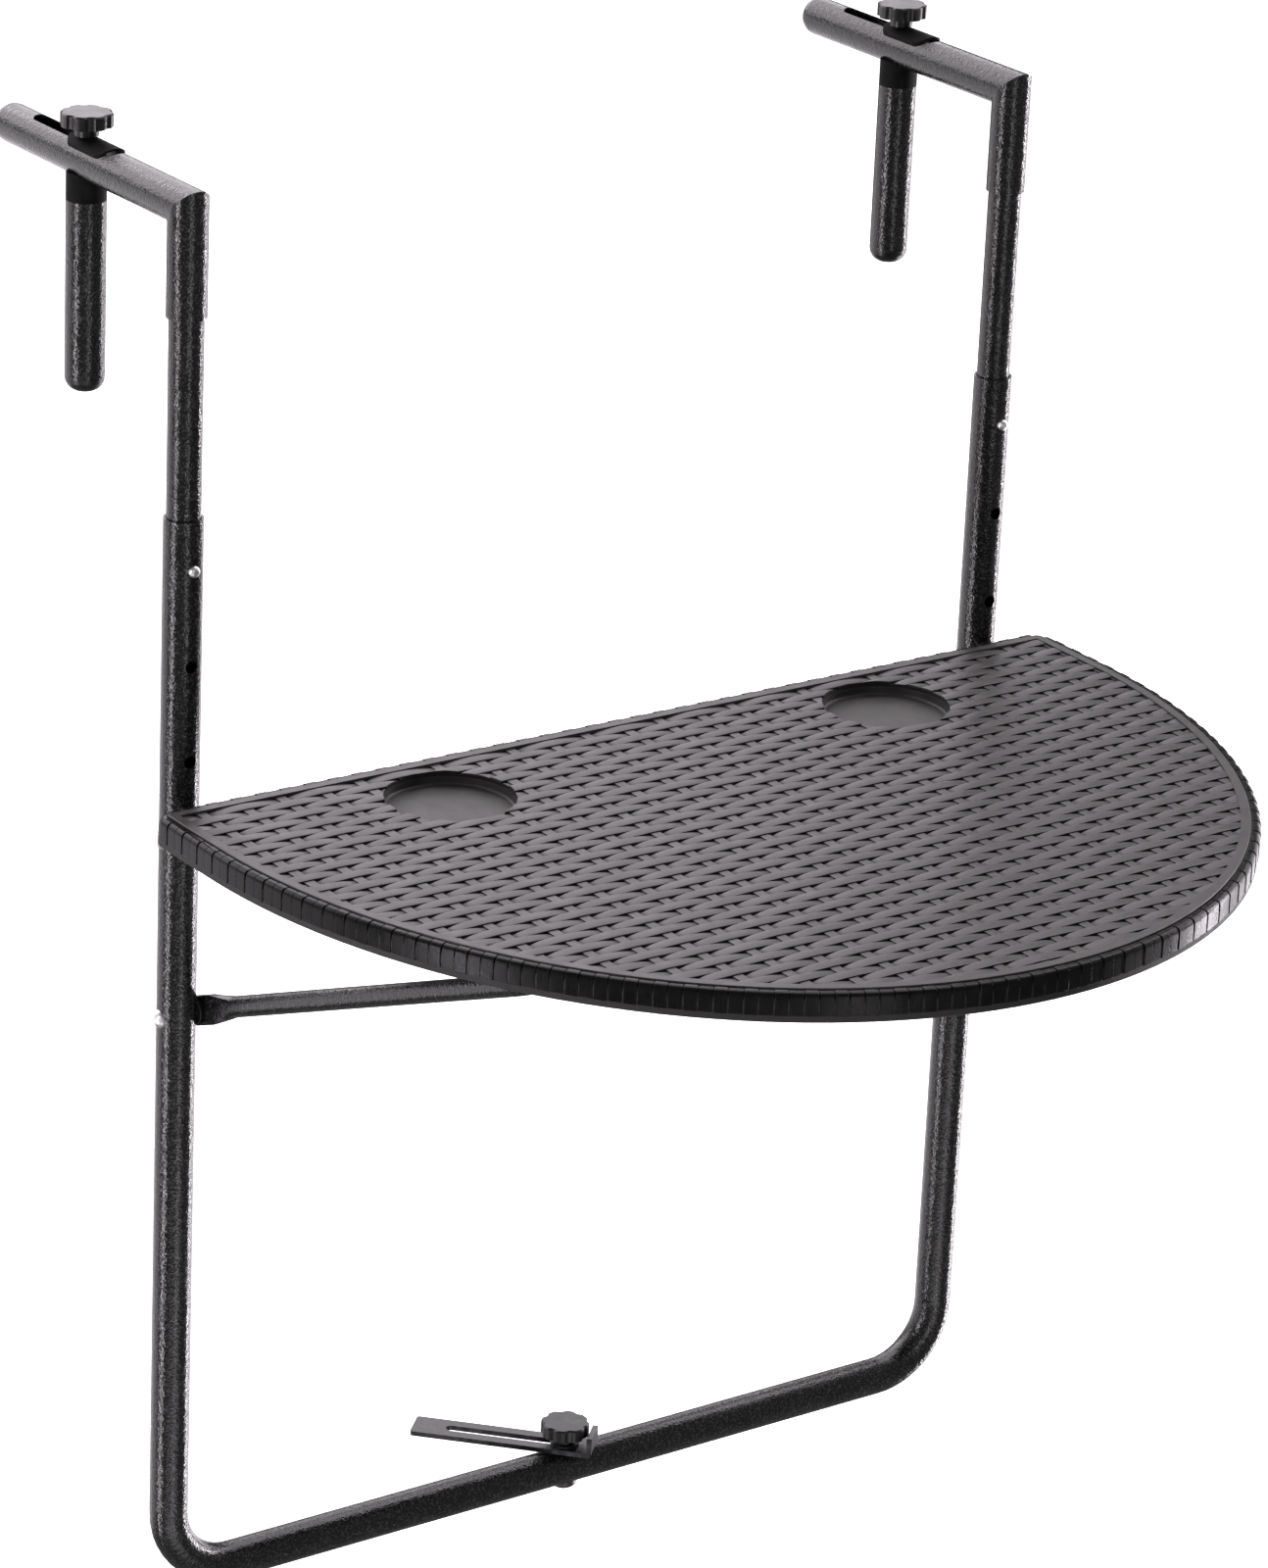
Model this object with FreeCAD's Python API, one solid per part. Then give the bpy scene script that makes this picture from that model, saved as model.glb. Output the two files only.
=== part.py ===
"""Balcony railing bar table, built as separate pieces in millimetres.

X runs along the railing, +Y points over the railing and +Z points up.
The origin lies midway between the two hooks, on the line where their bars rest on the
railing, halfway between the uprights and the clamp tubes.
"""
import FreeCAD, Part
import math
import os

from FreeCAD import Vector

# Table top
table_width = 600.0
table_depth = 405.0
front_ellipse_depth = 347.0
back_corner_radius = 9.0
rim_depth = 17.0
rim_wall = 3.0
rim_top_bevel = 3.0
rim_foot_bevel = 0.8
plate_thickness = 4.0
back_edge_from_uprights = 22.0
top_above_bottom_bar = 478.0

# Drink wells in the table top
well_radius = 36.2
well_depth = 8.5
well_floor = 2.5
well_wall = 2.5
well_lip_bevel = 1.0
well_spacing = 293.0
well_from_back_edge = 54.5

# Ribs under the table top
rib_depth = 4.0
rib_thickness = 2.0
long_rib_pitch = 56.0
long_rib_count = 6
cross_rib_pitch = 62.0
cross_rib_count = 9
first_long_rib = 44.0

# Frame tube, bent to a U
tube_diameter = 22.0
tube_wall = 1.2
upright_spacing = 540.0
frame_height = 801.0
bend_radius = 42.0
upright_length = 632.0

# Height adjustment
slide_clearance = 0.3
inner_tube_wall = 1.2
height_hole_count = 3
height_hole_pitch = 54.0
top_hole_height = 605.0
inner_tube_below_button = 40.0
button_diameter = 6.4
button_hole_clearance = 0.3
button_proud = 3.0
button_flange_diameter = 8.6
button_flange_thickness = 1.2
spring_strip_width = 7.0
spring_strip_thickness = 0.6
spring_drop = 36.0

# Hooks over the railing
hook_post_length = 59.0
hook_bar_length = 190.0
hook_end_radius = 7.0
hook_seat_gap = 0.1
slot_width = 10.0
slot_start = 70.0
slot_end = 157.0

# Clamps on the hooks
clamp_reach = 105.0
clamp_drop = 117.5
cap_height = 8.0
cap_spigot = 10.0
saddle_thickness = 11.4
saddle_ear_height = 4.0
saddle_spigot = 12.0
fit_gap = 0.1
running_gap = 0.05
bolt_diameter = 8.0
bolt_hole_clearance = 0.2
bolt_head_across_flats = 13.0
bolt_head_height = 5.3
slide_plate_length = 40.0
slide_plate_behind_bolt = 10.0
slide_plate_thickness = 1.2
slide_plate_half_width = 9.0
slide_plate_corner_radius = 7.0

# Star knobs
knob_diameter = 28.5
knob_lobes = 8
knob_scallop_radius = 4.6
knob_scallop_depth = 1.3
knob_head_height = 7.5
knob_hub_diameter = 13.0
knob_hub_height = 5.4
knob_edge_bevel = 0.8
insert_diameter = 10.0
insert_length = 9.0
bolt_in_knob = 8.0

# Hinges of the table and the brace
table_pivot_below_rim = 10.5
brace_pivot_height = 345.8
rivet_diameter = 6.0
rivet_head_diameter = 10.5
rivet_head_height = 3.2
rivet_tail_diameter = 9.0
rivet_tail_height = 2.0
washer_diameter = 14.0
washer_thickness = 1.0
hinge_play = 0.1

# Brackets under the table
bracket_thickness = 2.5
bracket_ear_radius = 8.5
bracket_length = 95.0
bracket_flange_width = 18.0
bracket_flange_start = 32.0
bracket_screw_count = 3
bracket_screw_inset = 12.0
pad_depth = 6.5
screw_diameter = 3.8
screw_head_diameter = 7.0
screw_head_height = 2.2
screw_grip = 5.0
screw_hole_clearance = 0.1

# Brace
brace_diameter = 12.0
brace_flat_thickness = 4.0
brace_flat_length = 18.0
brace_taper_length = 16.0
brace_reach = 285.6
brace_bar_below_top = 15.0
brace_bar_width = 452.0
brace_bend_radius = 30.0
brace_tube_offset = 7.0
table_fold_angle = 85.0
brace_fold_angle = 107.3

# Catches that hold the brace
catch_spacing = 260.0
catch_width = 22.0
catch_behind = 10.5
catch_ahead = 9.5
catch_foot_thickness = 3.5
catch_foot_overhang = 11.0
catch_depth = 12.0
catch_gap = 0.4
catch_screw_grip = 3.0

# Spacer at the foot of the frame
spacer_width = 20.0
spacer_thickness = 3.0
spacer_tail = 91.0
spacer_tab_distance = 18.0
spacer_tab_height = 12.5
spacer_corner_radius = 1.5
spacer_slot_margin = 19.5
spacer_bolt_diameter = 6.0
spacer_bolt_clearance = 0.25
spacer_angle = 46.0
spacer_washer_diameter = 17.0
spacer_washer_thickness = 1.2
bolt_dome_height = 3.6
bolt_dome_diameter = 16.0

# Worked out from the sizes above
tube_radius = tube_diameter / 2
tube_bore = tube_radius - tube_wall
inner_tube_radius = tube_bore - slide_clearance
inner_tube_bore = inner_tube_radius - inner_tube_wall
hook_bore = inner_tube_radius + hook_seat_gap
bolt_radius = bolt_diameter / 2
bolt_hole_radius = bolt_radius + bolt_hole_clearance
spacer_bolt_radius = spacer_bolt_diameter / 2
spacer_hole_radius = spacer_bolt_radius + spacer_bolt_clearance
rivet_radius = rivet_diameter / 2
half_spacing = upright_spacing / 2
hook_axis_z = tube_radius
bottom_axis_z = hook_axis_z - frame_height
upright_y = -clamp_reach / 2
clamp_y = upright_y + clamp_reach
table_top_z = bottom_axis_z + top_above_bottom_bar
table_back_y = upright_y - back_edge_from_uprights
plate_under_z = table_top_z - plate_thickness
pad_under_z = plate_under_z - pad_depth
rim_foot_z = table_top_z - rim_depth
table_pivot_z = rim_foot_z - table_pivot_below_rim
brace_pivot_z = bottom_axis_z + brace_pivot_height
brace_bar_z = table_top_z - brace_bar_below_top
brace_bar_y = upright_y - brace_reach
button_z = bottom_axis_z + top_hole_height
tube_inner_face = half_spacing - tube_radius
washer_face = tube_inner_face - washer_thickness
bracket_face = washer_face - hinge_play
well_y = table_back_y - well_from_back_edge
bar_top_z = hook_axis_z + tube_radius
slide_plate_inner = tube_radius + slide_clearance
slide_plate_top_z = hook_axis_z + slide_plate_inner + slide_plate_thickness
bottom_bar_top_z = bottom_axis_z + tube_radius
spacer_bar_z = bottom_bar_top_z + hinge_play
spacer_washer_z = spacer_bar_z + spacer_thickness + hinge_play
spacer_knob_z = spacer_washer_z + spacer_washer_thickness + hinge_play

# How finely rounded ends are turned
nose_steps = 5

AXIS_X = Vector(1, 0, 0)
AXIS_Y = Vector(0, 1, 0)
AXIS_Z = Vector(0, 0, 1)
ORIGIN = Vector(0, 0, 0)
BEYOND = 1.0


def cylinder(radius, length, base, direction=AXIS_Z):
    """A solid cylinder from its base point along a direction."""
    return Part.makeCylinder(radius, length, base, direction)


def block(low, high):
    """A box between two opposite corners."""
    size = high - low
    return Part.makeBox(size.x, size.y, size.z, low)


def fused(shapes):
    """One solid out of several that touch, without the seams between flush faces."""
    first = shapes[0]
    if len(shapes) > 1:
        first = first.multiFuse(shapes[1:])
    return first.removeSplitter()


def turned(profile, base, direction):
    """A solid turned about a line, from pairs of radius and height that start and end on it."""
    points = [Vector(radius, 0, height) for radius, height in profile]
    face = Part.Face(Part.makePolygon(points + [points[0]]))
    solid = face.revolve(ORIGIN, AXIS_Z, 360)
    solid.Placement = FreeCAD.Placement(base, FreeCAD.Rotation(AXIS_Z, direction))
    return solid


def nosed_rod(radius, length, nose_radius, base, direction=AXIS_Z):
    """A rod whose far end is rounded in short straight chords."""
    profile = [(0, 0), (radius, 0)]
    for step in range(nose_steps + 1):
        angle = math.pi / 2 * step / nose_steps
        profile.append((radius - nose_radius * (1 - math.cos(angle)),
                        length - nose_radius * (1 - math.sin(angle))))
    return turned(profile + [(0, length)], base, direction)


def domed_head(radius, skirt, height, base, direction):
    """A low domed head over a straight skirt, whose dome springs from the base point."""
    sphere_radius = (radius**2 + height**2) / (2 * height)
    spread = math.asin(radius / sphere_radius)
    profile = [(0, -skirt), (radius, -skirt)]
    for step in range(nose_steps):
        angle = spread * (1 - step / nose_steps)
        profile.append((sphere_radius * math.sin(angle), height - sphere_radius * (1 - math.cos(angle))))
    return turned(profile + [(0, height)], base, direction)


def mirrored(shape):
    """The same shape on the other side of the middle plane X = 0."""
    return shape.mirror(ORIGIN, AXIS_X)


def extruded(points, height, direction=AXIS_Z):
    """A prism over a closed polygon."""
    wire = Part.makePolygon(points + [points[0]])
    return Part.Face(wire).extrude(direction * height)


def edges_at(shape, test):
    """The edges of a shape whose middle point passes a test."""
    found = []
    for edge in shape.Edges:
        middle = edge.valueAt((edge.FirstParameter + edge.LastParameter) / 2)
        if test(middle):
            found.append(edge)
    return found


def filleted(shape, radius, test):
    """The shape with the edges that pass a test rounded."""
    return shape.makeFillet(radius, edges_at(shape, test))


def bevelled(shape, width, test):
    """The shape with the edges that pass a test cut off at an even angle."""
    return shape.makeChamfer(width, edges_at(shape, test))


def bend_at(before, corner, after, radius):
    """Where a bend starts and ends, its centre, its axis and its angle in degrees."""
    back = (before - corner).normalize()
    ahead = (after - corner).normalize()
    half_turn = math.acos(max(-1.0, min(1.0, back.dot(ahead)))) / 2
    reach = radius / math.tan(half_turn)
    centre = corner + (back + ahead).normalize() * (radius / math.sin(half_turn))
    turn = 180 - 2 * math.degrees(half_turn)
    return corner + back * reach, corner + ahead * reach, centre, ahead.cross(back), turn


def bent_rod(corners, radius, bend_radius):
    """A round rod along straight runs, with each corner bent to the same radius."""
    pieces = []
    start = corners[0]
    for before, corner, after in zip(corners, corners[1:], corners[2:]):
        bend_start, bend_end, centre, axis, turn = bend_at(before, corner, after, bend_radius)
        run = bend_start - start
        pieces.append(cylinder(radius, run.Length, start, run))
        disc = Part.Face(Part.Wire([Part.makeCircle(radius, bend_start, run)]))
        pieces.append(disc.revolve(centre, axis, turn))
        start = bend_end
    run = corners[-1] - start
    pieces.append(cylinder(radius, run.Length, start, run))
    return fused(pieces)


def rounded_corner(before, corner, after, radius):
    """The arc that rounds a corner, with the two points where it meets the straight runs."""
    start, end, centre, axis, turn = bend_at(before, corner, after, radius)
    middle = centre + (corner - centre).normalize() * radius
    return start, Part.Arc(start, middle, end).toShape(), end


# Frame


def frame_tube():
    """The U-shaped frame tube with its height holes, rivet holes and spacer bolt hole."""
    top_z = bottom_axis_z + upright_length
    corners = [
        Vector(-half_spacing, upright_y, top_z),
        Vector(-half_spacing, upright_y, bottom_axis_z),
        Vector(half_spacing, upright_y, bottom_axis_z),
        Vector(half_spacing, upright_y, top_z),
    ]
    tube = bent_rod(corners, tube_radius, bend_radius).cut(bent_rod(corners, tube_bore, bend_radius))
    holes = []
    hole_radius = button_diameter / 2 + button_hole_clearance
    for side in (-1, 1):
        for step in range(height_hole_count):
            height = button_z - step * height_hole_pitch
            base = Vector(side * half_spacing, upright_y, height)
            holes.append(cylinder(hole_radius, tube_diameter, base, -AXIS_Y))
        for pivot_z in (table_pivot_z, brace_pivot_z):
            base = Vector(side * half_spacing - tube_diameter, upright_y, pivot_z)
            holes.append(cylinder(rivet_radius + running_gap, 2 * tube_diameter, base, AXIS_X))
    bolt_base = Vector(0, upright_y, bottom_axis_z - tube_diameter)
    holes.append(cylinder(spacer_hole_radius, 2 * tube_diameter, bolt_base))
    return tube.cut(holes)


def pivot_rivet(pivot_z, held_thickness):
    """A right-hand rivet through an upright, its washer and the piece that turns on it."""
    outer_face = half_spacing + tube_radius
    tail_face = washer_face - 2 * hinge_play - held_thickness
    head_radius = rivet_head_diameter / 2
    head_skirt = tube_radius - math.sqrt(tube_radius**2 - head_radius**2)
    shank_start = Vector(tail_face, upright_y, pivot_z)
    shank = cylinder(rivet_radius, outer_face - tail_face, shank_start, AXIS_X)
    blank = domed_head(head_radius, head_skirt, rivet_head_height,
                       Vector(outer_face, upright_y, pivot_z), AXIS_X)
    upright = cylinder(tube_radius, 4 * tube_diameter,
                       Vector(half_spacing, upright_y, pivot_z - 2 * tube_diameter))
    tail = cylinder(rivet_tail_diameter / 2, rivet_tail_height, shank_start, -AXIS_X)
    tail_end = tail_face - rivet_tail_height
    tail = bevelled(tail, rivet_tail_height / 2, lambda p: abs(p.x - tail_end) < 1e-6)
    return fused([shank, blank.cut(upright), tail])


def pivot_washer(pivot_z):
    """The right-hand plastic washer between an upright and the piece that turns on it."""
    base = Vector(washer_face, upright_y, pivot_z)
    disc = cylinder(washer_diameter / 2, washer_thickness, base, AXIS_X)
    return disc.cut(cylinder(rivet_radius + fit_gap, washer_thickness, base, AXIS_X))


# Hooks and height adjustment


def hook_arm():
    """The right-hand hook: a post and a slotted bar, mitred together, with a domed far end."""
    corner = Vector(half_spacing, upright_y, hook_axis_z)
    reach = tube_diameter
    bar_end = upright_y + hook_bar_length

    def elbow(radius, bar_stop, end_radius):
        bar = nosed_rod(radius, bar_stop - upright_y + reach, end_radius, corner - AXIS_Y * reach, AXIS_Y)
        post = cylinder(radius, hook_post_length + reach, corner + AXIS_Z * reach, -AXIS_Z)
        diagonal = 3 * (hook_bar_length + reach)
        mitre = Part.makeBox(diagonal, diagonal, diagonal, Vector(-diagonal / 2, -diagonal / 2, 0))
        mitre.rotate(ORIGIN, AXIS_X, -45)
        mitre.translate(corner)
        return bar.common(mitre), post.cut(mitre)

    wall = tube_radius - hook_bore
    outer = fused(list(elbow(tube_radius, bar_end, hook_end_radius)))
    inner = fused(list(elbow(hook_bore, bar_end - wall, hook_end_radius - wall)))
    arm = outer.cut(inner)
    half_slot = slot_width / 2
    low_z = hook_axis_z - tube_diameter
    for end in (slot_start, slot_end):
        middle = end + half_slot if end == slot_start else end - half_slot
        arm = arm.cut(cylinder(half_slot, 2 * tube_diameter, Vector(half_spacing, upright_y + middle, low_z)))
    slot = block(
        Vector(half_spacing - half_slot, upright_y + slot_start + half_slot, low_z),
        Vector(half_spacing + half_slot, upright_y + slot_end - half_slot, low_z + 2 * tube_diameter),
    )
    return arm.cut(slot)


def inner_tube():
    """The right-hand tube that slides in the upright and is fixed in the hook's post."""
    top_z = hook_axis_z - tube_radius
    low_z = button_z - inner_tube_below_button
    base = Vector(half_spacing, upright_y, low_z)
    tube = cylinder(inner_tube_radius, top_z - low_z, base).cut(cylinder(inner_tube_bore, top_z - low_z, base))
    hole_base = Vector(half_spacing, upright_y, button_z)
    return tube.cut(cylinder(button_diameter / 2 + fit_gap, tube_radius, hole_base, -AXIS_Y))


def button_flange_face():
    """How far in front of the tube axis the button's flange lies against the bore."""
    return math.sqrt(inner_tube_bore**2 - (button_flange_diameter / 2) ** 2) - fit_gap


def snap_button():
    """The right-hand button that locks the height, with its flange inside the inner tube."""
    flange_front = button_flange_face()
    back = flange_front - button_flange_thickness
    tip = tube_radius + button_proud
    stem = nosed_rod(button_diameter / 2, tip - back, button_diameter / 3,
                     Vector(half_spacing, upright_y - back, button_z), -AXIS_Y)
    flange = cylinder(button_flange_diameter / 2, button_flange_thickness,
                      Vector(half_spacing, upright_y - back, button_z), -AXIS_Y)
    return fused([stem, flange])


def button_spring():
    """The right-hand V spring that pushes the button out against the tube's back wall."""
    front = -(button_flange_face() - button_flange_thickness) + fit_gap
    back = math.sqrt(inner_tube_bore**2 - (spring_strip_width / 2) ** 2) - fit_gap
    thick = spring_strip_thickness
    leaf_top = button_flange_diameter / 2
    leaf_foot = -button_flange_diameter
    outside = [(front, leaf_top), (front, leaf_foot), (-2 * thick, -spring_drop),
               (2 * thick, -spring_drop), (back, leaf_foot), (back, leaf_top)]
    inside = [(back - thick, leaf_top), (back - thick, leaf_foot), (thick, -spring_drop + 2 * thick),
              (-thick, -spring_drop + 2 * thick), (front + thick, leaf_foot), (front + thick, leaf_top)]
    left_x = half_spacing - spring_strip_width / 2
    points = [Vector(left_x, upright_y + y, button_z + z) for y, z in outside + inside]
    return extruded(points, spring_strip_width, AXIS_X)


# Clamps


def saddle():
    """The right-hand plastic saddle between the hook's bar and the clamp tube."""
    low_z = -saddle_thickness
    top_z = hook_axis_z - tube_radius + saddle_ear_height
    collar = cylinder(tube_radius, top_z - low_z, Vector(half_spacing, clamp_y, low_z))
    bar = cylinder(tube_radius + slide_clearance, hook_bar_length,
                   Vector(half_spacing, clamp_y - hook_bar_length / 2, hook_axis_z), AXIS_Y)
    spigot = cylinder(tube_bore - running_gap, saddle_spigot,
                      Vector(half_spacing, clamp_y, low_z - saddle_spigot))
    bolt_hole = cylinder(bolt_hole_radius, clamp_drop, Vector(half_spacing, clamp_y, low_z - clamp_drop / 2))
    return fused([collar.cut(bar), spigot]).cut(bolt_hole)


def drop_tube():
    """The right-hand clamp tube that hangs behind the railing."""
    low_z = cap_height - clamp_drop
    base = Vector(half_spacing, clamp_y, low_z)
    length = -saddle_thickness - low_z
    return cylinder(tube_radius, length, base).cut(cylinder(tube_bore, length, base))


def drop_tube_cap():
    """The right-hand domed end cap with its plug in the clamp tube."""
    seam_z = cap_height - clamp_drop
    seam = Vector(half_spacing, clamp_y, seam_z)
    dome = nosed_rod(tube_radius, cap_height, cap_height - fit_gap, seam, -AXIS_Z)
    plug = cylinder(tube_bore - running_gap, cap_spigot, seam)
    return fused([dome, plug])


def hexagon(across_flats, height, base):
    """A hexagonal prism standing on its base point."""
    corner_radius = across_flats / math.sqrt(3)
    points = []
    for side in range(6):
        angle = math.radians(60 * side)
        points.append(base + Vector(corner_radius * math.cos(angle), corner_radius * math.sin(angle), 0))
    return extruded(points, height)


def clamp_bolt():
    """The right-hand bolt, its head under the saddle's spigot and its thread in the knob."""
    head_top = -saddle_thickness - saddle_spigot
    base = Vector(half_spacing, clamp_y, head_top - bolt_head_height)
    head = hexagon(bolt_head_across_flats, bolt_head_height, base)
    tip_z = slide_plate_top_z + hinge_play + bolt_in_knob
    shank = cylinder(bolt_radius, tip_z - base.z, base)
    shank = bevelled(shank, bolt_radius / 6, lambda p: abs(p.z - tip_z) < 1e-6)
    return fused([head, shank])


def slide_plate():
    """The right-hand curved plate that covers the slot under the knob."""
    back_y = clamp_y + slide_plate_behind_bolt
    length = slide_plate_length
    base = Vector(half_spacing, back_y - length, hook_axis_z)
    outer_radius = slide_plate_inner + slide_plate_thickness
    shell = cylinder(outer_radius, length, base, AXIS_Y).cut(cylinder(slide_plate_inner, length, base, AXIS_Y))
    window = block(Vector(half_spacing - slide_plate_half_width, back_y - length, hook_axis_z),
                   Vector(half_spacing + slide_plate_half_width, back_y, hook_axis_z + tube_diameter))
    middle_z = hook_axis_z + tube_diameter / 2
    window = filleted(window, slide_plate_corner_radius, lambda p: abs(p.z - middle_z) < 1e-6)
    hole = cylinder(bolt_hole_radius, 2 * tube_diameter, Vector(half_spacing, clamp_y, hook_axis_z))
    return shell.common(window).cut(hole)


def star_knob(centre):
    """A lobed knob that stands on its hub, bored from below for its threaded insert."""
    head_z = centre.z + knob_hub_height
    head_base = Vector(centre.x, centre.y, head_z)
    head = cylinder(knob_diameter / 2, knob_head_height, head_base)
    scallops = []
    scallop_centre = knob_diameter / 2 + knob_scallop_radius - knob_scallop_depth
    for lobe in range(knob_lobes):
        angle = 2 * math.pi * (lobe + 0.5) / knob_lobes
        place = head_base + Vector(scallop_centre * math.cos(angle), scallop_centre * math.sin(angle), -BEYOND)
        scallops.append(cylinder(knob_scallop_radius, knob_head_height + 2 * BEYOND, place))
    head = head.cut(scallops)
    top_z = head_z + knob_head_height
    head = bevelled(head, knob_edge_bevel, lambda p: abs(p.z - top_z) < 1e-6)
    hub = cylinder(knob_hub_diameter / 2, knob_hub_height, centre)
    return fused([hub, head]).cut(cylinder(insert_diameter / 2, insert_length, centre))


def knob_insert(centre, thread_radius):
    """The threaded metal insert in a knob's hub."""
    bush = cylinder(insert_diameter / 2, insert_length, centre)
    return bush.cut(cylinder(thread_radius + running_gap, insert_length, centre))


# Table top


def outline(inset, z):
    """The table's outline as a closed wire: straight back, short straight sides, elliptical front."""
    half = table_width / 2 - inset
    depth = front_ellipse_depth - inset
    back = table_back_y - inset
    ellipse_y = table_back_y - (table_depth - front_ellipse_depth)
    radius = max(back_corner_radius - inset, fit_gap)
    unit_arc = Part.Arc(Vector(1, 0, 0), Vector(0, -1, 0), Vector(-1, 0, 0)).toShape()
    scale = FreeCAD.Matrix()
    scale.scale(half, depth, 1)
    front = unit_arc.transformGeometry(scale)
    front.translate(Vector(0, ellipse_y, z))
    right_foot = Vector(half, ellipse_y, z)
    left_foot = Vector(-half, ellipse_y, z)
    right_corner = Vector(half, back, z)
    left_corner = Vector(-half, back, z)
    right_start, right_arc, right_end = rounded_corner(right_foot, right_corner, left_corner, radius)
    left_start, left_arc, left_end = rounded_corner(right_corner, left_corner, left_foot, radius)
    edges = [
        front,
        Part.makeLine(left_foot, left_end),
        left_arc,
        Part.makeLine(left_start, right_end),
        right_arc,
        Part.makeLine(right_start, right_foot),
    ]
    return Part.Wire(Part.__sortEdges__(edges))


def slab(inset, low_z, high_z):
    """A flat slab with the table's outline."""
    return Part.Face(outline(inset, low_z)).extrude(Vector(0, 0, high_z - low_z))


def bevel_band(low_inset, low_z, high_inset, high_z):
    """A flat slab whose sides lean from one inset of the outline to another."""
    return Part.makeLoft([outline(low_inset, low_z), outline(high_inset, high_z)], True, True)


def bracket_hole_ys():
    """Where the bracket screws lie, in front of the uprights."""
    first = upright_y - bracket_flange_start - bracket_screw_inset
    last = upright_y - bracket_length + bracket_screw_inset
    step = (last - first) / (bracket_screw_count - 1)
    return [first + step * index for index in range(bracket_screw_count)]


def bracket_screw_x():
    """How far the bracket screws lie from the middle plane."""
    return bracket_face - bracket_thickness - bracket_flange_width / 2


def catch_hole_ys():
    """Where the two screws of a catch lie, behind and ahead of the brace's bar."""
    middle_overhang = catch_foot_overhang / 2
    return [brace_bar_y + catch_behind + middle_overhang, brace_bar_y - catch_ahead - middle_overhang]


def underside_ribs():
    """The shallow ribs that stiffen the plate, kept clear of the brackets and catches."""
    low_z = plate_under_z - rib_depth
    ribs = []
    for row in range(long_rib_count):
        y = table_back_y - first_long_rib - row * long_rib_pitch
        ribs.append(block(Vector(-table_width / 2, y - rib_thickness / 2, low_z),
                          Vector(table_width / 2, y + rib_thickness / 2, plate_under_z)))
    for column in range(cross_rib_count):
        x = (column - (cross_rib_count - 1) / 2) * cross_rib_pitch
        ribs.append(block(Vector(x - rib_thickness / 2, table_back_y - table_depth, low_z),
                          Vector(x + rib_thickness / 2, table_back_y, plate_under_z)))
    grid = fused(ribs).common(slab(rim_wall / 2, low_z, plate_under_z))
    clear = []
    for side in (-1, 1):
        screw_x = side * bracket_screw_x()
        room = bracket_flange_width / 2 + bracket_thickness + BEYOND
        clear.append(block(Vector(screw_x - room, upright_y - bracket_length - BEYOND, low_z),
                           Vector(screw_x + room, table_back_y - rim_wall, plate_under_z)))
        catch_x = side * catch_spacing / 2
        room = catch_width / 2 + BEYOND
        foot = catch_foot_overhang + BEYOND
        clear.append(block(Vector(catch_x - room, brace_bar_y - catch_ahead - foot, low_z),
                           Vector(catch_x + room, brace_bar_y + catch_behind + foot, plate_under_z)))
    return grid.cut(clear)


def table_top():
    """The moulded table top: plate, bevelled rim, drink wells, ribs, pads and screw holes."""
    foot_z = rim_foot_z + rim_foot_bevel
    shoulder_z = table_top_z - rim_top_bevel
    shell = fused([
        bevel_band(rim_foot_bevel, rim_foot_z, 0, foot_z),
        slab(0, foot_z, shoulder_z),
        bevel_band(0, shoulder_z, rim_top_bevel, table_top_z),
    ])
    shell = shell.cut(slab(rim_wall, rim_foot_z - BEYOND, plate_under_z))
    added = [shell, underside_ribs()]
    removed = []
    cup_floor_z = table_top_z - well_depth
    for side in (-1, 1):
        well_x = side * well_spacing / 2
        cup_base = Vector(well_x, well_y, cup_floor_z - well_floor)
        added.append(cylinder(well_radius + well_wall, well_depth + well_floor - fit_gap, cup_base))
        removed.append(cylinder(well_radius, well_depth + BEYOND, Vector(well_x, well_y, cup_floor_z)))
        pad_x = side * bracket_screw_x()
        half_pad = bracket_flange_width / 2
        added.append(block(
            Vector(pad_x - half_pad, upright_y - bracket_length, pad_under_z),
            Vector(pad_x + half_pad, upright_y - bracket_flange_start, plate_under_z),
        ))
        for y in bracket_hole_ys():
            removed.append(cylinder(screw_diameter / 2 + screw_hole_clearance, screw_grip + fit_gap,
                                    Vector(pad_x, y, pad_under_z)))
        for y in catch_hole_ys():
            removed.append(cylinder(screw_diameter / 2 + screw_hole_clearance, catch_screw_grip + fit_gap,
                                    Vector(side * catch_spacing / 2, y, plate_under_z)))
    top = fused(added).cut(removed)

    def on_well_lip(point):
        distance = math.hypot(abs(point.x) - well_spacing / 2, point.y - well_y)
        return abs(point.z - table_top_z) < 1e-6 and abs(distance - well_radius) < 1e-3

    return bevelled(top, well_lip_bevel, on_well_lip)


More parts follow.
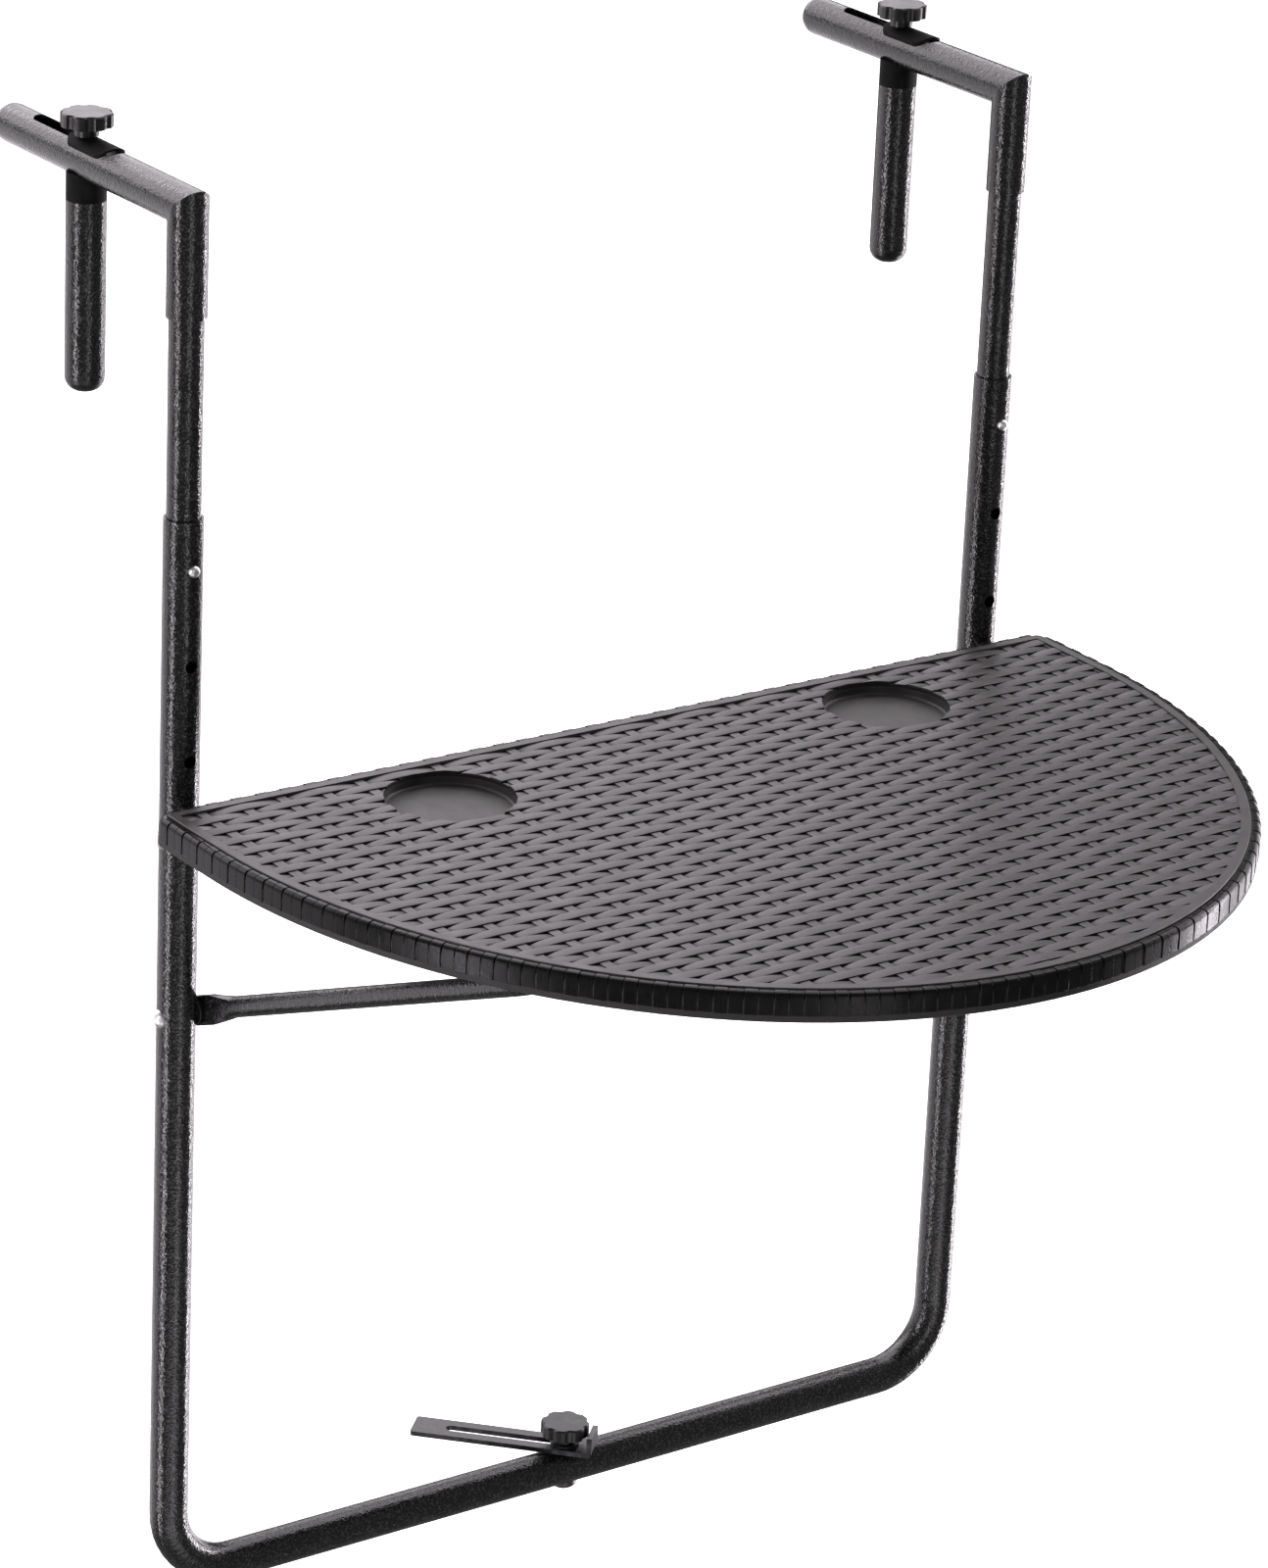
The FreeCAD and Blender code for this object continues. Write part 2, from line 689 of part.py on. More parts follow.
def table_bracket():
    """The right-hand angle bracket that carries the table top on its pivot."""
    web_x = bracket_face - bracket_thickness
    ear_low = table_pivot_z - bracket_ear_radius
    ear_high = table_pivot_z + bracket_ear_radius
    front_y = upright_y - bracket_length
    step_y = upright_y - bracket_flange_start
    side_view = [
        Vector(web_x, upright_y, ear_low),
        Vector(web_x, step_y, ear_low),
        Vector(web_x, front_y, pad_under_z - bracket_thickness - BEYOND),
        Vector(web_x, front_y, pad_under_z),
        Vector(web_x, step_y, pad_under_z),
        Vector(web_x, step_y, ear_high),
        Vector(web_x, upright_y, ear_high),
    ]
    web = extruded(side_view, bracket_thickness, AXIS_X)
    pivot = Vector(web_x, upright_y, table_pivot_z)
    ear = cylinder(bracket_ear_radius, bracket_thickness, pivot, AXIS_X)
    flange = block(Vector(web_x - bracket_flange_width, front_y, pad_under_z - bracket_thickness),
                   Vector(web_x, step_y, pad_under_z))
    holes = [cylinder(rivet_radius + running_gap, bracket_thickness, pivot, AXIS_X)]
    for y in bracket_hole_ys():
        base = Vector(bracket_screw_x(), y, pad_under_z - bracket_thickness)
        holes.append(cylinder(screw_diameter / 2 + screw_hole_clearance, bracket_thickness, base))
    return fused([web, ear, flange]).cut(holes)


def screw_up(base, grip):
    """A pan head screw whose head's upper face lies at its base point, pointing up."""
    head = cylinder(screw_head_diameter / 2, screw_head_height, base - AXIS_Z * screw_head_height)
    head = bevelled(head, screw_head_height / 2, lambda p: abs(p.z - (base.z - screw_head_height)) < 1e-6)
    return fused([head, cylinder(screw_diameter / 2, grip, base)])


def bracket_screws():
    """The six screws that hold the two brackets."""
    screws = []
    for side in (-1, 1):
        for y in bracket_hole_ys():
            base = Vector(side * bracket_screw_x(), y, pad_under_z - bracket_thickness)
            screws.append(screw_up(base, bracket_thickness + screw_grip))
    return Part.makeCompound(screws)


def catch_screws():
    """The four screws that hold the two catches."""
    screws = []
    for side in (-1, 1):
        for y in catch_hole_ys():
            base = Vector(side * catch_spacing / 2, y, plate_under_z - catch_foot_thickness)
            screws.append(screw_up(base, catch_foot_thickness + catch_screw_grip))
    return Part.makeCompound(screws)


def turned_about(point, pivot, degrees):
    """A point turned about a line along X through a pivot."""
    arm = point - pivot
    angle = math.radians(degrees)
    y = arm.y * math.cos(angle) - arm.z * math.sin(angle)
    z = arm.y * math.sin(angle) + arm.z * math.cos(angle)
    return pivot + Vector(arm.x, y, z)


def brace_exit():
    """The direction in which the brace's bar leaves its catches, seen from the table top."""
    bar = Vector(0, brace_bar_y, brace_bar_z)
    table_pivot = Vector(0, upright_y, table_pivot_z)
    brace_pivot = Vector(0, upright_y, brace_pivot_z)
    start_angle = table_fold_angle / 30
    turned = turned_about(bar, brace_pivot, start_angle * brace_fold_angle / table_fold_angle)
    seen = turned_about(turned, table_pivot, -start_angle)
    return (seen - bar).normalize()


def brace_catch():
    """The right-hand catch: a foot with two screw ears and a cradle open towards the exit."""
    middle_x = catch_spacing / 2
    low_x = middle_x - catch_width / 2
    foot = block(
        Vector(low_x, brace_bar_y - catch_ahead - catch_foot_overhang, plate_under_z - catch_foot_thickness),
        Vector(low_x + catch_width, brace_bar_y + catch_behind + catch_foot_overhang, plate_under_z),
    )
    body = block(Vector(low_x, brace_bar_y - catch_ahead, plate_under_z - catch_foot_thickness - catch_depth),
                 Vector(low_x + catch_width, brace_bar_y + catch_behind, plate_under_z))
    groove_radius = brace_diameter / 2 + catch_gap
    bar_start = Vector(low_x - BEYOND, brace_bar_y, brace_bar_z)
    width = catch_width + 2 * BEYOND
    groove = cylinder(groove_radius, width, bar_start, AXIS_X)
    ahead = brace_exit()
    across = Vector(0, -ahead.z, ahead.y) * groove_radius
    far = ahead * (catch_depth + catch_behind + catch_ahead)
    way_out = extruded([bar_start + across, bar_start + across + far,
                        bar_start - across + far, bar_start - across], width, AXIS_X)
    holes = [groove, way_out]
    for y in catch_hole_ys():
        base = Vector(middle_x, y, plate_under_z - catch_foot_thickness)
        holes.append(cylinder(screw_diameter / 2 + screw_hole_clearance, catch_foot_thickness, base))
    return fused([foot, body]).cut(holes)


# Brace


def brace_rod():
    """The U-shaped brace with flattened ends, laid flat and then raised to its working angle."""
    rod_radius = brace_diameter / 2
    rise = brace_bar_z - brace_pivot_z
    length = math.hypot(brace_reach, rise)
    lift = math.degrees(math.atan2(rise, brace_reach))
    flat_middle = bracket_face - brace_flat_thickness / 2
    half_flat = brace_flat_thickness / 2
    half_height = (math.pi * (brace_diameter - brace_flat_thickness) / 2 + brace_flat_thickness) / 2
    arm_start = Vector(bracket_face - brace_tube_offset, -brace_flat_length - brace_taper_length, 0)
    corner = Vector(brace_bar_width / 2, -length, 0)
    heading = (corner - arm_start).normalize()
    sideways = heading.cross(AXIS_Z)

    flat_corners = [
        Vector(flat_middle + side * half_flat, -brace_flat_length, height)
        for side, height in ((-1, half_height), (1, half_height), (1, -half_height), (-1, -half_height))
    ]
    flat_section = Part.makePolygon(flat_corners + [flat_corners[0]])
    spots = []
    for degrees in range(135, -226, -45):
        angle = math.radians(degrees)
        outwards = sideways * (-math.cos(angle)) + AXIS_Z * math.sin(angle)
        spots.append(arm_start + outwards * rod_radius)
    round_section = Part.Wire([
        Part.Arc(spots[index], spots[index + 1], spots[index + 2]).toShape() for index in (0, 2, 4, 6)
    ])
    taper = Part.makeLoft([flat_section, round_section], True, True)
    end_base = Vector(flat_middle - half_flat, 0, 0)
    flat_end = fused([
        cylinder(half_height, brace_flat_thickness, end_base, AXIS_X),
        block(Vector(flat_middle - half_flat, -brace_flat_length, -half_height),
              Vector(flat_middle + half_flat, 0, half_height)),
    ])
    hole = cylinder(rivet_radius + running_gap, brace_flat_thickness, end_base, AXIS_X)
    arm = bent_rod([arm_start, corner, Vector(0, -length, 0)], rod_radius, brace_bend_radius)
    half_brace = fused([flat_end.cut(hole), taper, arm])
    brace = fused([half_brace, mirrored(half_brace)])
    brace.rotate(ORIGIN, AXIS_X, -lift)
    brace.translate(Vector(0, upright_y, brace_pivot_z))
    return brace


# Spacer at the foot


def spacer_bolt():
    """The bolt that stands up through the bottom tube, with a domed head below it."""
    tip_z = spacer_knob_z + bolt_in_knob
    base_z = bottom_axis_z - tube_radius
    shank = cylinder(spacer_bolt_radius, tip_z - base_z, Vector(0, upright_y, base_z))
    shank = bevelled(shank, spacer_bolt_radius / 6, lambda p: abs(p.z - tip_z) < 1e-6)
    half_head = bolt_dome_diameter / 2
    skirt = tube_radius - math.sqrt(tube_radius**2 - half_head**2)
    blank = domed_head(half_head, skirt, bolt_dome_height, Vector(0, upright_y, base_z), -AXIS_Z)
    tube = cylinder(tube_radius, 4 * tube_diameter,
                    Vector(-2 * tube_diameter, upright_y, bottom_axis_z), AXIS_X)
    return fused([blank.cut(tube), shank])


def spacer_bar():
    """The slotted flat bar with its upturned tab, swung to its resting direction."""
    half = spacer_width / 2
    low_z = spacer_bar_z
    high_z = low_z + spacer_thickness
    outer_bend = spacer_thickness
    plate = block(Vector(-spacer_tail, -half, low_z), Vector(spacer_tab_distance, half, high_z))
    plate = filleted(plate, spacer_corner_radius,
                     lambda p: abs(p.x + spacer_tail) < 1e-6 and abs(abs(p.y) - half) < 1e-6)
    tab = block(Vector(spacer_tab_distance - spacer_thickness, -half, low_z),
                Vector(spacer_tab_distance, half, low_z + spacer_tab_height))
    tab_top = low_z + spacer_tab_height
    tab = filleted(tab, spacer_corner_radius,
                   lambda p: abs(p.z - tab_top) < 1e-6 and abs(abs(p.y) - half) < 1e-6)
    bar = fused([plate, tab])
    bar = filleted(bar, outer_bend,
                   lambda p: abs(p.x - spacer_tab_distance) < 1e-6 and abs(p.z - low_z) < 1e-6)
    half_slot = spacer_hole_radius
    slot_far = -spacer_tail + spacer_slot_margin + half_slot
    slot = [
        block(Vector(slot_far, -half_slot, low_z - BEYOND), Vector(0, half_slot, high_z + BEYOND)),
        cylinder(half_slot, spacer_thickness + 2 * BEYOND, Vector(slot_far, 0, low_z - BEYOND)),
        cylinder(half_slot, spacer_thickness + 2 * BEYOND, Vector(0, 0, low_z - BEYOND)),
    ]
    bar = bar.cut(slot)
    bar.rotate(ORIGIN, AXIS_Z, -spacer_angle)
    bar.translate(Vector(0, upright_y, 0))
    return bar


def spacer_washer():
    """The washer between the slotted bar and the knob."""
    base = Vector(0, upright_y, spacer_washer_z)
    disc = cylinder(spacer_washer_diameter / 2, spacer_washer_thickness, base)
    return disc.cut(cylinder(spacer_bolt_radius + running_gap, spacer_washer_thickness, base))


# All nodes


def both_sides(name, shape):
    """A right-hand piece and its mirror image, each under its own name."""
    return {"left_" + name: mirrored(shape), "right_" + name: shape}


clamp_knob_centre = Vector(half_spacing, clamp_y, slide_plate_top_z + hinge_play)
spacer_knob_centre = Vector(0, upright_y, spacer_knob_z)

nodes = {"frame_tube": frame_tube()}
nodes.update(both_sides("table_rivet", pivot_rivet(table_pivot_z, bracket_thickness)))
nodes.update(both_sides("brace_rivet", pivot_rivet(brace_pivot_z, brace_flat_thickness)))
nodes.update(both_sides("table_washer", pivot_washer(table_pivot_z)))
nodes.update(both_sides("brace_washer", pivot_washer(brace_pivot_z)))
nodes.update(both_sides("hook_arm", hook_arm()))
nodes.update(both_sides("inner_tube", inner_tube()))
nodes.update(both_sides("snap_button", snap_button()))
nodes.update(both_sides("button_spring", button_spring()))
nodes.update(both_sides("clamp_saddle", saddle()))
nodes.update(both_sides("drop_tube", drop_tube()))
nodes.update(both_sides("drop_tube_cap", drop_tube_cap()))
nodes.update(both_sides("clamp_bolt", clamp_bolt()))
nodes.update(both_sides("slide_plate", slide_plate()))
nodes.update(both_sides("clamp_knob", star_knob(clamp_knob_centre)))
nodes.update(both_sides("clamp_knob_insert", knob_insert(clamp_knob_centre, bolt_radius)))
nodes["table_top"] = table_top()
nodes.update(both_sides("table_bracket", table_bracket()))
nodes["bracket_screws"] = bracket_screws()
nodes.update(both_sides("brace_catch", brace_catch()))
nodes["catch_screws"] = catch_screws()
nodes["brace_rod"] = brace_rod()
nodes["spacer_bolt"] = spacer_bolt()
nodes["spacer_bar"] = spacer_bar()
nodes["spacer_washer"] = spacer_washer()
nodes["spacer_knob"] = star_knob(spacer_knob_centre)
nodes["spacer_knob_insert"] = knob_insert(spacer_knob_centre, spacer_bolt_radius)

os.makedirs("parts", exist_ok=True)
for name, shape in nodes.items():
    shape.exportStep("parts/" + name + ".step")
    print(name, "solids", len(shape.Solids), "valid", shape.isValid(), "volume", round(shape.Volume, 1))
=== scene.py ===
"""Looks of the balcony railing bar table: finishes, woven top, wrapped rim, springs and studio."""

import logging
import math
from contextlib import contextmanager
from dataclasses import dataclass
from dataclasses import replace
from enum import Enum
from typing import Callable
from typing import Iterator

import bpy
from mathutils import Matrix
from mathutils import Vector

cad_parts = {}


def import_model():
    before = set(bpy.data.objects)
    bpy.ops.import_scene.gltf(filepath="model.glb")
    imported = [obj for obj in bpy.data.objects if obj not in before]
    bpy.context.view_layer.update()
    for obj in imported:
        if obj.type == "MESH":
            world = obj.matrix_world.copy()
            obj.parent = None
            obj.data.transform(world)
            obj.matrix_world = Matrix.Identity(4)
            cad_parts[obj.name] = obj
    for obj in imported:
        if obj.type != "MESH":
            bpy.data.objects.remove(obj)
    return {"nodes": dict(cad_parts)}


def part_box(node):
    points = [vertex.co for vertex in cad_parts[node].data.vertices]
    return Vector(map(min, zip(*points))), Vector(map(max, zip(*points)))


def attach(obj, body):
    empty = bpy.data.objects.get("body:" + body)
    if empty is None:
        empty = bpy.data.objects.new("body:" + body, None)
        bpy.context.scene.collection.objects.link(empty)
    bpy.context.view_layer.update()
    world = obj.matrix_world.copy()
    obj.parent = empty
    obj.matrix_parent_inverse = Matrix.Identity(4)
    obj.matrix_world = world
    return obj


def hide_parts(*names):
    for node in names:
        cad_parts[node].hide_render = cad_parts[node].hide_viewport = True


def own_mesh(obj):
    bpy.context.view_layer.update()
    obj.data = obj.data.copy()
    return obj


MM = 0.001
NEARLY = 0.02 * MM
LOG = logging.getLogger("bar_table")

Piece = bpy.types.Object
Material = bpy.types.Material
Colour = tuple[float, float, float]
Point = tuple[float, float, float]
Rates = tuple[float, float, float]
Span = tuple[float, float]
Choice = Callable[[Vector, Vector], bool]


# Shader sums


@dataclass(frozen=True)
class Wire:
    """An output socket of a shader node that takes part in sums as a number does."""

    graph: "ShaderGraph"
    socket: bpy.types.NodeSocket

    def __add__(self, other: "Wire | float") -> "Wire":
        """Adds a number or another wire."""
        return self.graph.sum("ADD", self, other)

    __radd__ = __add__

    def __sub__(self, other: "Wire | float") -> "Wire":
        """Takes a number or another wire away."""
        return self.graph.sum("SUBTRACT", self, other)

    def __rsub__(self, other: "Wire | float") -> "Wire":
        """Takes this wire away from a number."""
        return self.graph.sum("SUBTRACT", other, self)

    def __mul__(self, other: "Wire | float") -> "Wire":
        """Multiplies by a number or another wire."""
        return self.graph.sum("MULTIPLY", self, other)

    __rmul__ = __mul__


class ShaderGraph:
    """The node tree of one material."""

    def __init__(self, name: str) -> None:
        """Starts an empty material.

        Args:
            name: The material's name.
        """
        self.material = bpy.data.materials.new(name)
        self.material.use_nodes = True
        self.tree = self.material.node_tree
        self.tree.nodes.clear()

    def node(self, kind: str, settings: dict | None = None, inputs: dict | None = None) -> bpy.types.Node:
        """Adds one node, sets it up and fills its sockets.

        Args:
            kind: The node's type.
            settings: Its properties.
            inputs: Values or wires for its sockets, by name or number.

        Returns:
            The new node.
        """
        new = self.tree.nodes.new(kind)
        for key, value in (settings or {}).items():
            setattr(new, key, value)
        for key, value in (inputs or {}).items():
            if isinstance(value, Wire):
                self.tree.links.new(value.socket, new.inputs[key])
            else:
                new.inputs[key].default_value = value
        return new

    def wire(self, kind: str, settings: dict | None = None, inputs: dict | None = None,
             output: int | str = 0) -> Wire:
        """Adds one node and gives one of its outputs.

        Args:
            kind: The node's type.
            settings: Its properties.
            inputs: Values or wires for its sockets.
            output: The output's name or number.

        Returns:
            The output as a wire.
        """
        return Wire(self, self.node(kind, settings, inputs).outputs[output])

    def sum(self, operation: str, first: Wire | float, second: Wire | float = 0.0) -> Wire:
        """Adds a Math node.

        Args:
            operation: The node's operation.
            first: Its first value.
            second: Its second value.

        Returns:
            The result.
        """
        return self.wire("ShaderNodeMath", {"operation": operation}, {0: first, 1: second})

    def place(self, stretch: Rates = (1.0, 1.0, 1.0)) -> Wire:
        """The place on the object, stretched for a pattern.

        Args:
            stretch: How many times each axis is scaled.

        Returns:
            The coordinates.
        """
        spot = self.wire("ShaderNodeTexCoord", output="Object")
        return self.wire("ShaderNodeMapping", None, {"Vector": spot, "Scale": stretch})

    def axis(self, spot: Wire, number: int) -> Wire:
        """One coordinate of a place or a normal.

        Args:
            spot: The place or the normal.
            number: 0, 1 or 2 for X, Y or Z.

        Returns:
            The coordinate.
        """
        return self.wire("ShaderNodeSeparateXYZ", None, {0: spot}, number)

    def noise(self, spot: Wire, scale: float, detail: float = 3.0) -> Wire:
        """A soft random pattern.

        Args:
            spot: The coordinates.
            scale: Features per metre.
            detail: How many finer layers it has.

        Returns:
            The pattern, about 0.3 to 0.7.
        """
        return self.wire("ShaderNodeTexNoise", None, {"Vector": spot, "Scale": scale, "Detail": detail})

    def cells(self, spot: Wire, scale: float, smoothness: float = 0.6) -> Wire:
        """Rounded cells, dark at their middles.

        Args:
            spot: The coordinates.
            scale: Cells per metre.
            smoothness: How softly they meet.

        Returns:
            The distance from the nearest middle.
        """
        return self.wire("ShaderNodeTexVoronoi", {"feature": "SMOOTH_F1"},
                         {"Vector": spot, "Scale": scale, "Smoothness": smoothness})

    def spread(self, value: Wire, span: Span, result: Span = (0.0, 1.0)) -> Wire:
        """Maps a range of values to another, and holds it there.

        Args:
            value: The value.
            span: The two ends of its range.
            result: What the ends become.

        Returns:
            The mapped value.
        """
        ends = dict(enumerate((value, *span, *result)))
        return self.wire("ShaderNodeMapRange", {"clamp": True}, ends)

    def blend(self, mask: Wire, first: Wire | Colour, second: Wire | Colour) -> Wire:
        """Mixes two colours.

        Args:
            mask: 0 for the first, 1 for the second.
            first: A colour.
            second: A colour.

        Returns:
            The mixed colour.
        """
        sides = [side if isinstance(side, Wire) else (*side, 1.0) for side in (first, second)]
        # The Mix node's colours are its inputs 6 and 7 and its output 2
        return self.wire("ShaderNodeMix", {"data_type": "RGBA"}, {0: mask, 6: sides[0], 7: sides[1]}, 2)

    def bump(self, height: Wire, depth: float) -> Wire:
        """A relief.

        Args:
            height: Its pattern, from 0 to 1.
            depth: How high 1 stands, in metres.

        Returns:
            The normal.
        """
        return self.wire("ShaderNodeBump", None, {"Strength": 1.0, "Distance": depth, "Height": height})

    def surface(self, **inputs: Wire | float | tuple) -> Material:
        """Ends the tree with the surface shader.

        Args:
            inputs: Its sockets, with underscores for blanks.

        Returns:
            The material.
        """
        sockets = {key.replace("_", " "): value for key, value in inputs.items()}
        shader = self.wire("ShaderNodeBsdfPrincipled", None, sockets, "BSDF")
        self.node("ShaderNodeOutputMaterial", None, {"Surface": shader})
        return self.material


# Finishes


@dataclass(frozen=True)
class HammeredCoat:
    """Black hammered powder coat on the steel tubes."""

    name: str = "hammered_powder_coat"
    dark: Colour = (0.005, 0.005, 0.0052)
    light: Colour = (0.032, 0.031, 0.032)
    cell_rate: float = 900.0
    cell_share: float = 0.8
    ripple_rate: float = 360.0
    ripple_share: float = 1.2
    relief: float = 0.20 * MM
    fleck_rate: float = 720.0
    fleck_detail: float = 1.0
    fleck_span: Span = (0.52, 0.64)
    patch_rate: float = 60.0
    patch_ripple: float = 0.5
    patch_span: Span = (0.55, 1.0)
    roughness: Span = (0.14, 0.26)

    def make(self) -> Material:
        """Builds the material."""
        graph = ShaderGraph(self.name)
        spot = graph.place()
        ripple = graph.noise(spot, self.ripple_rate)
        fleck = graph.noise(spot, self.fleck_rate, self.fleck_detail)
        patch = graph.noise(spot, self.patch_rate) + ripple * self.patch_ripple
        height = graph.cells(spot, self.cell_rate) * self.cell_share + ripple * self.ripple_share
        return graph.surface(
            Base_Color=graph.blend(graph.spread(fleck, self.fleck_span), self.dark, self.light),
            Roughness=graph.spread(patch, self.patch_span, self.roughness),
            Normal=graph.bump(height, self.relief),
        )


@dataclass(frozen=True)
class MouldedPlastic:
    """Dark satin plastic with a faint drawn grain, and painted shade in its gaps, down its sides and on
    its skirt.
    """

    name: str
    base: Colour = (0.040, 0.0375, 0.038)
    shade: Colour = (0.026, 0.0245, 0.025)
    # painted shade: the colour that the gaps, the strands' sides and the skirt darken towards
    gap_shade: Colour = (0.0035, 0.0035, 0.0035)
    drawn_rates: Rates = (260.0, 1500.0, 1500.0)
    drawn_share: float = 0.3
    mottle_rate: float = 85.0
    mottle_detail: float = 4.0
    shade_span: Span = (0.38, 0.62)
    relief: float = 0.05 * MM
    relief_drawn: float = 0.6
    rough_drawn: float = 0.4
    rough_span: Span = (0.5, 0.9)
    roughness: Span = (0.38, 0.50)
    specular: float = 0.5
    # where the painted shade falls: below gap_top, on faces turned along Y, and on the skirt
    gap_top: float | None = None
    gap_shade_span: Span = (1.35 * MM, 2.0 * MM)
    gap_roughness: float = 0.4
    wall_span: Span = (3.25 * MM, 3.75 * MM)
    wall_shade: float = 0.22
    side_shade_span: Span | None = None
    skirt_span: Span | None = None
    skirt_shade: float = 0.6

    def painted_shade(self, graph: ShaderGraph) -> Wire:
        """How much painted shade a spot gets in the gaps, down a strand's side or on the skirt, with less
        of it on the well walls and floors.

        Args:
            graph: The material's node tree.

        Returns:
            0 on the open surface, and up to 1.
        """
        below = self.gap_top - graph.axis(graph.place(), 2)
        # painted shade, darker the lower a spot lies below the top
        shade_mask = graph.spread(below, self.gap_shade_span)
        if self.side_shade_span is not None:
            # painted shade on faces turned along Y, the sides of the strands
            normal = graph.wire("ShaderNodeTexCoord", output="Normal")
            side = graph.spread(graph.sum("ABSOLUTE", graph.axis(normal, 1)), self.side_shade_span)
            shade_mask = graph.sum("MAXIMUM", shade_mask, side)
        # the painted shade fades to wall_shade lower down, on the well walls and floors
        shade_mask = shade_mask * graph.spread(below, self.wall_span, (1.0, self.wall_shade))
        # painted shade on the skirt, far below the top
        if self.skirt_span is not None:
            skirt = graph.spread(below, self.skirt_span, (0.0, self.skirt_shade))
            shade_mask = graph.sum("MAXIMUM", shade_mask, skirt)
        return shade_mask

    def make(self) -> Material:
        """Builds the material."""
        graph = ShaderGraph(self.name)
        drawn = graph.noise(graph.place(self.drawn_rates), 1.0)
        mottle = graph.noise(graph.place(), self.mottle_rate, self.mottle_detail)
        shade = mottle * (1 - self.drawn_share) + drawn * self.drawn_share
        colour = graph.blend(graph.spread(shade, self.shade_span), self.shade, self.base)
        rough = graph.spread(mottle + drawn * self.rough_drawn, self.rough_span, self.roughness)
        if self.gap_top is not None:
            # painted shade blended into the colour
            shade_mask = self.painted_shade(graph)
            colour = graph.blend(shade_mask, colour, self.gap_shade)
            rough = rough + shade_mask * self.gap_roughness
        relief = drawn * self.relief_drawn + mottle * (1 - self.relief_drawn)
        return graph.surface(
            Base_Color=colour,
            Roughness=rough,
            Normal=graph.bump(relief, self.relief),
            Specular_IOR_Level=self.specular,
        )


@dataclass(frozen=True)
class CloudedFinish:
    """Hard surface with fine grain or scratches, and clouds of a second shade."""

    name: str
    main: Colour
    clouded: Colour
    roughness: Span
    cloud_rate: float = 140.0
    cloud_span: Span = (0.4, 0.65)
    grain_rates: Rates = (2600.0, 2600.0, 2600.0)
    grain_detail: float = 2.0
    grain_share: float = 0.5
    rough_span: Span = (0.35, 0.65)
    relief: float = 0.03 * MM
    specular: float = 0.5
    metallic: float = 0.0

    def make(self) -> Material:
        """Builds the material."""
        graph = ShaderGraph(self.name)
        grain = graph.noise(graph.place(self.grain_rates), 1.0, self.grain_detail)
        cloud = graph.noise(graph.place(), self.cloud_rate)
        mixed = grain * self.grain_share + cloud * (1 - self.grain_share)
        return graph.surface(
            Base_Color=graph.blend(graph.spread(cloud, self.cloud_span), self.main, self.clouded),
            Roughness=graph.spread(mixed, self.rough_span, self.roughness),
            Normal=graph.bump(grain, self.relief),
            Specular_IOR_Level=self.specular,
            Metallic=self.metallic,
        )


@dataclass(frozen=True)
class PaleSurface:
    """Evenly lit pale floor or backdrop, clear from its back."""

    name: str
    light: float = 1.0
    pale: Colour = (0.90, 0.90, 0.90)
    paler: Colour = (0.91, 0.91, 0.91)
    cloud_rate: float = 0.8
    cloud_detail: float = 2.0
    roughness: float = 0.9

    def make(self) -> Material:
        """Builds the material."""
        graph = ShaderGraph(self.name)
        cloud = graph.noise(graph.place(), self.cloud_rate, self.cloud_detail)
        front = graph.wire("ShaderNodeBsdfPrincipled", None, {
            "Base Color": graph.blend(cloud, self.pale, self.paler),
            "Roughness": self.roughness,
            "Emission Color": (1.0, 1.0, 1.0, 1.0),
            "Emission Strength": self.light,
        }, "BSDF")
        back = graph.wire("ShaderNodeNewGeometry", output="Backfacing")
        clear = graph.wire("ShaderNodeBsdfTransparent")
        mixed = graph.wire("ShaderNodeMixShader", None, {0: back, 1: front, 2: clear})
        graph.node("ShaderNodeOutputMaterial", None, {"Surface": mixed})
        return graph.material


class Look(Enum):
    """Which finish a carried-over CAD node gets."""

    COAT = "coat"
    PLASTIC = "plastic"
    MATT_PLASTIC = "matt_plastic"
    STEEL = "steel"
    ZINC = "zinc"
    BAR = "bar"
    BRASS = "brass"
    NYLON = "nylon"


BLACK_PLASTIC = CloudedFinish("black_plastic", main=(0.004, 0.004, 0.0042), clouded=(0.009, 0.009, 0.0095),
                              roughness=(0.26, 0.38), specular=0.4)
BRIGHT_STEEL = CloudedFinish("bright_steel", main=(0.92, 0.92, 0.91), clouded=(0.70, 0.70, 0.70),
                             roughness=(0.30, 0.45), cloud_rate=220.0, cloud_span=(0.35, 0.7),
                             grain_rates=(350.0, 2800.0, 2800.0), grain_detail=3.0, grain_share=0.6,
                             relief=0.012 * MM, metallic=1.0)
FINISHES = {
    Look.COAT: HammeredCoat(),
    Look.PLASTIC: BLACK_PLASTIC,
    Look.MATT_PLASTIC: replace(BLACK_PLASTIC, name="matt_black_plastic", main=(0.004, 0.004, 0.004),
                               clouded=(0.009, 0.009, 0.009), roughness=(0.60, 0.75), specular=0.08),
    Look.STEEL: BRIGHT_STEEL,
    Look.ZINC: replace(BRIGHT_STEEL, name="zinc_plate", main=(0.55, 0.56, 0.58),
                       clouded=(0.34, 0.35, 0.37), roughness=(0.28, 0.45)),
    Look.BAR: CloudedFinish("dark_bar_coat", main=(0.010, 0.010, 0.011), clouded=(0.045, 0.045, 0.047),
                            roughness=(0.26, 0.42), cloud_rate=180.0, cloud_span=(0.45, 0.7),
                            grain_rates=(1300.0, 1300.0, 1300.0), relief=0.05 * MM),
    Look.BRASS: replace(BRIGHT_STEEL, name="brass", main=(0.62, 0.47, 0.20), clouded=(0.40, 0.29, 0.12),
                        roughness=(0.25, 0.42)),
    Look.NYLON: replace(BLACK_PLASTIC, name="nylon_washer", main=(0.03, 0.03, 0.03),
                        clouded=(0.05, 0.05, 0.05), roughness=(0.42, 0.55)),
}


# Working with meshes


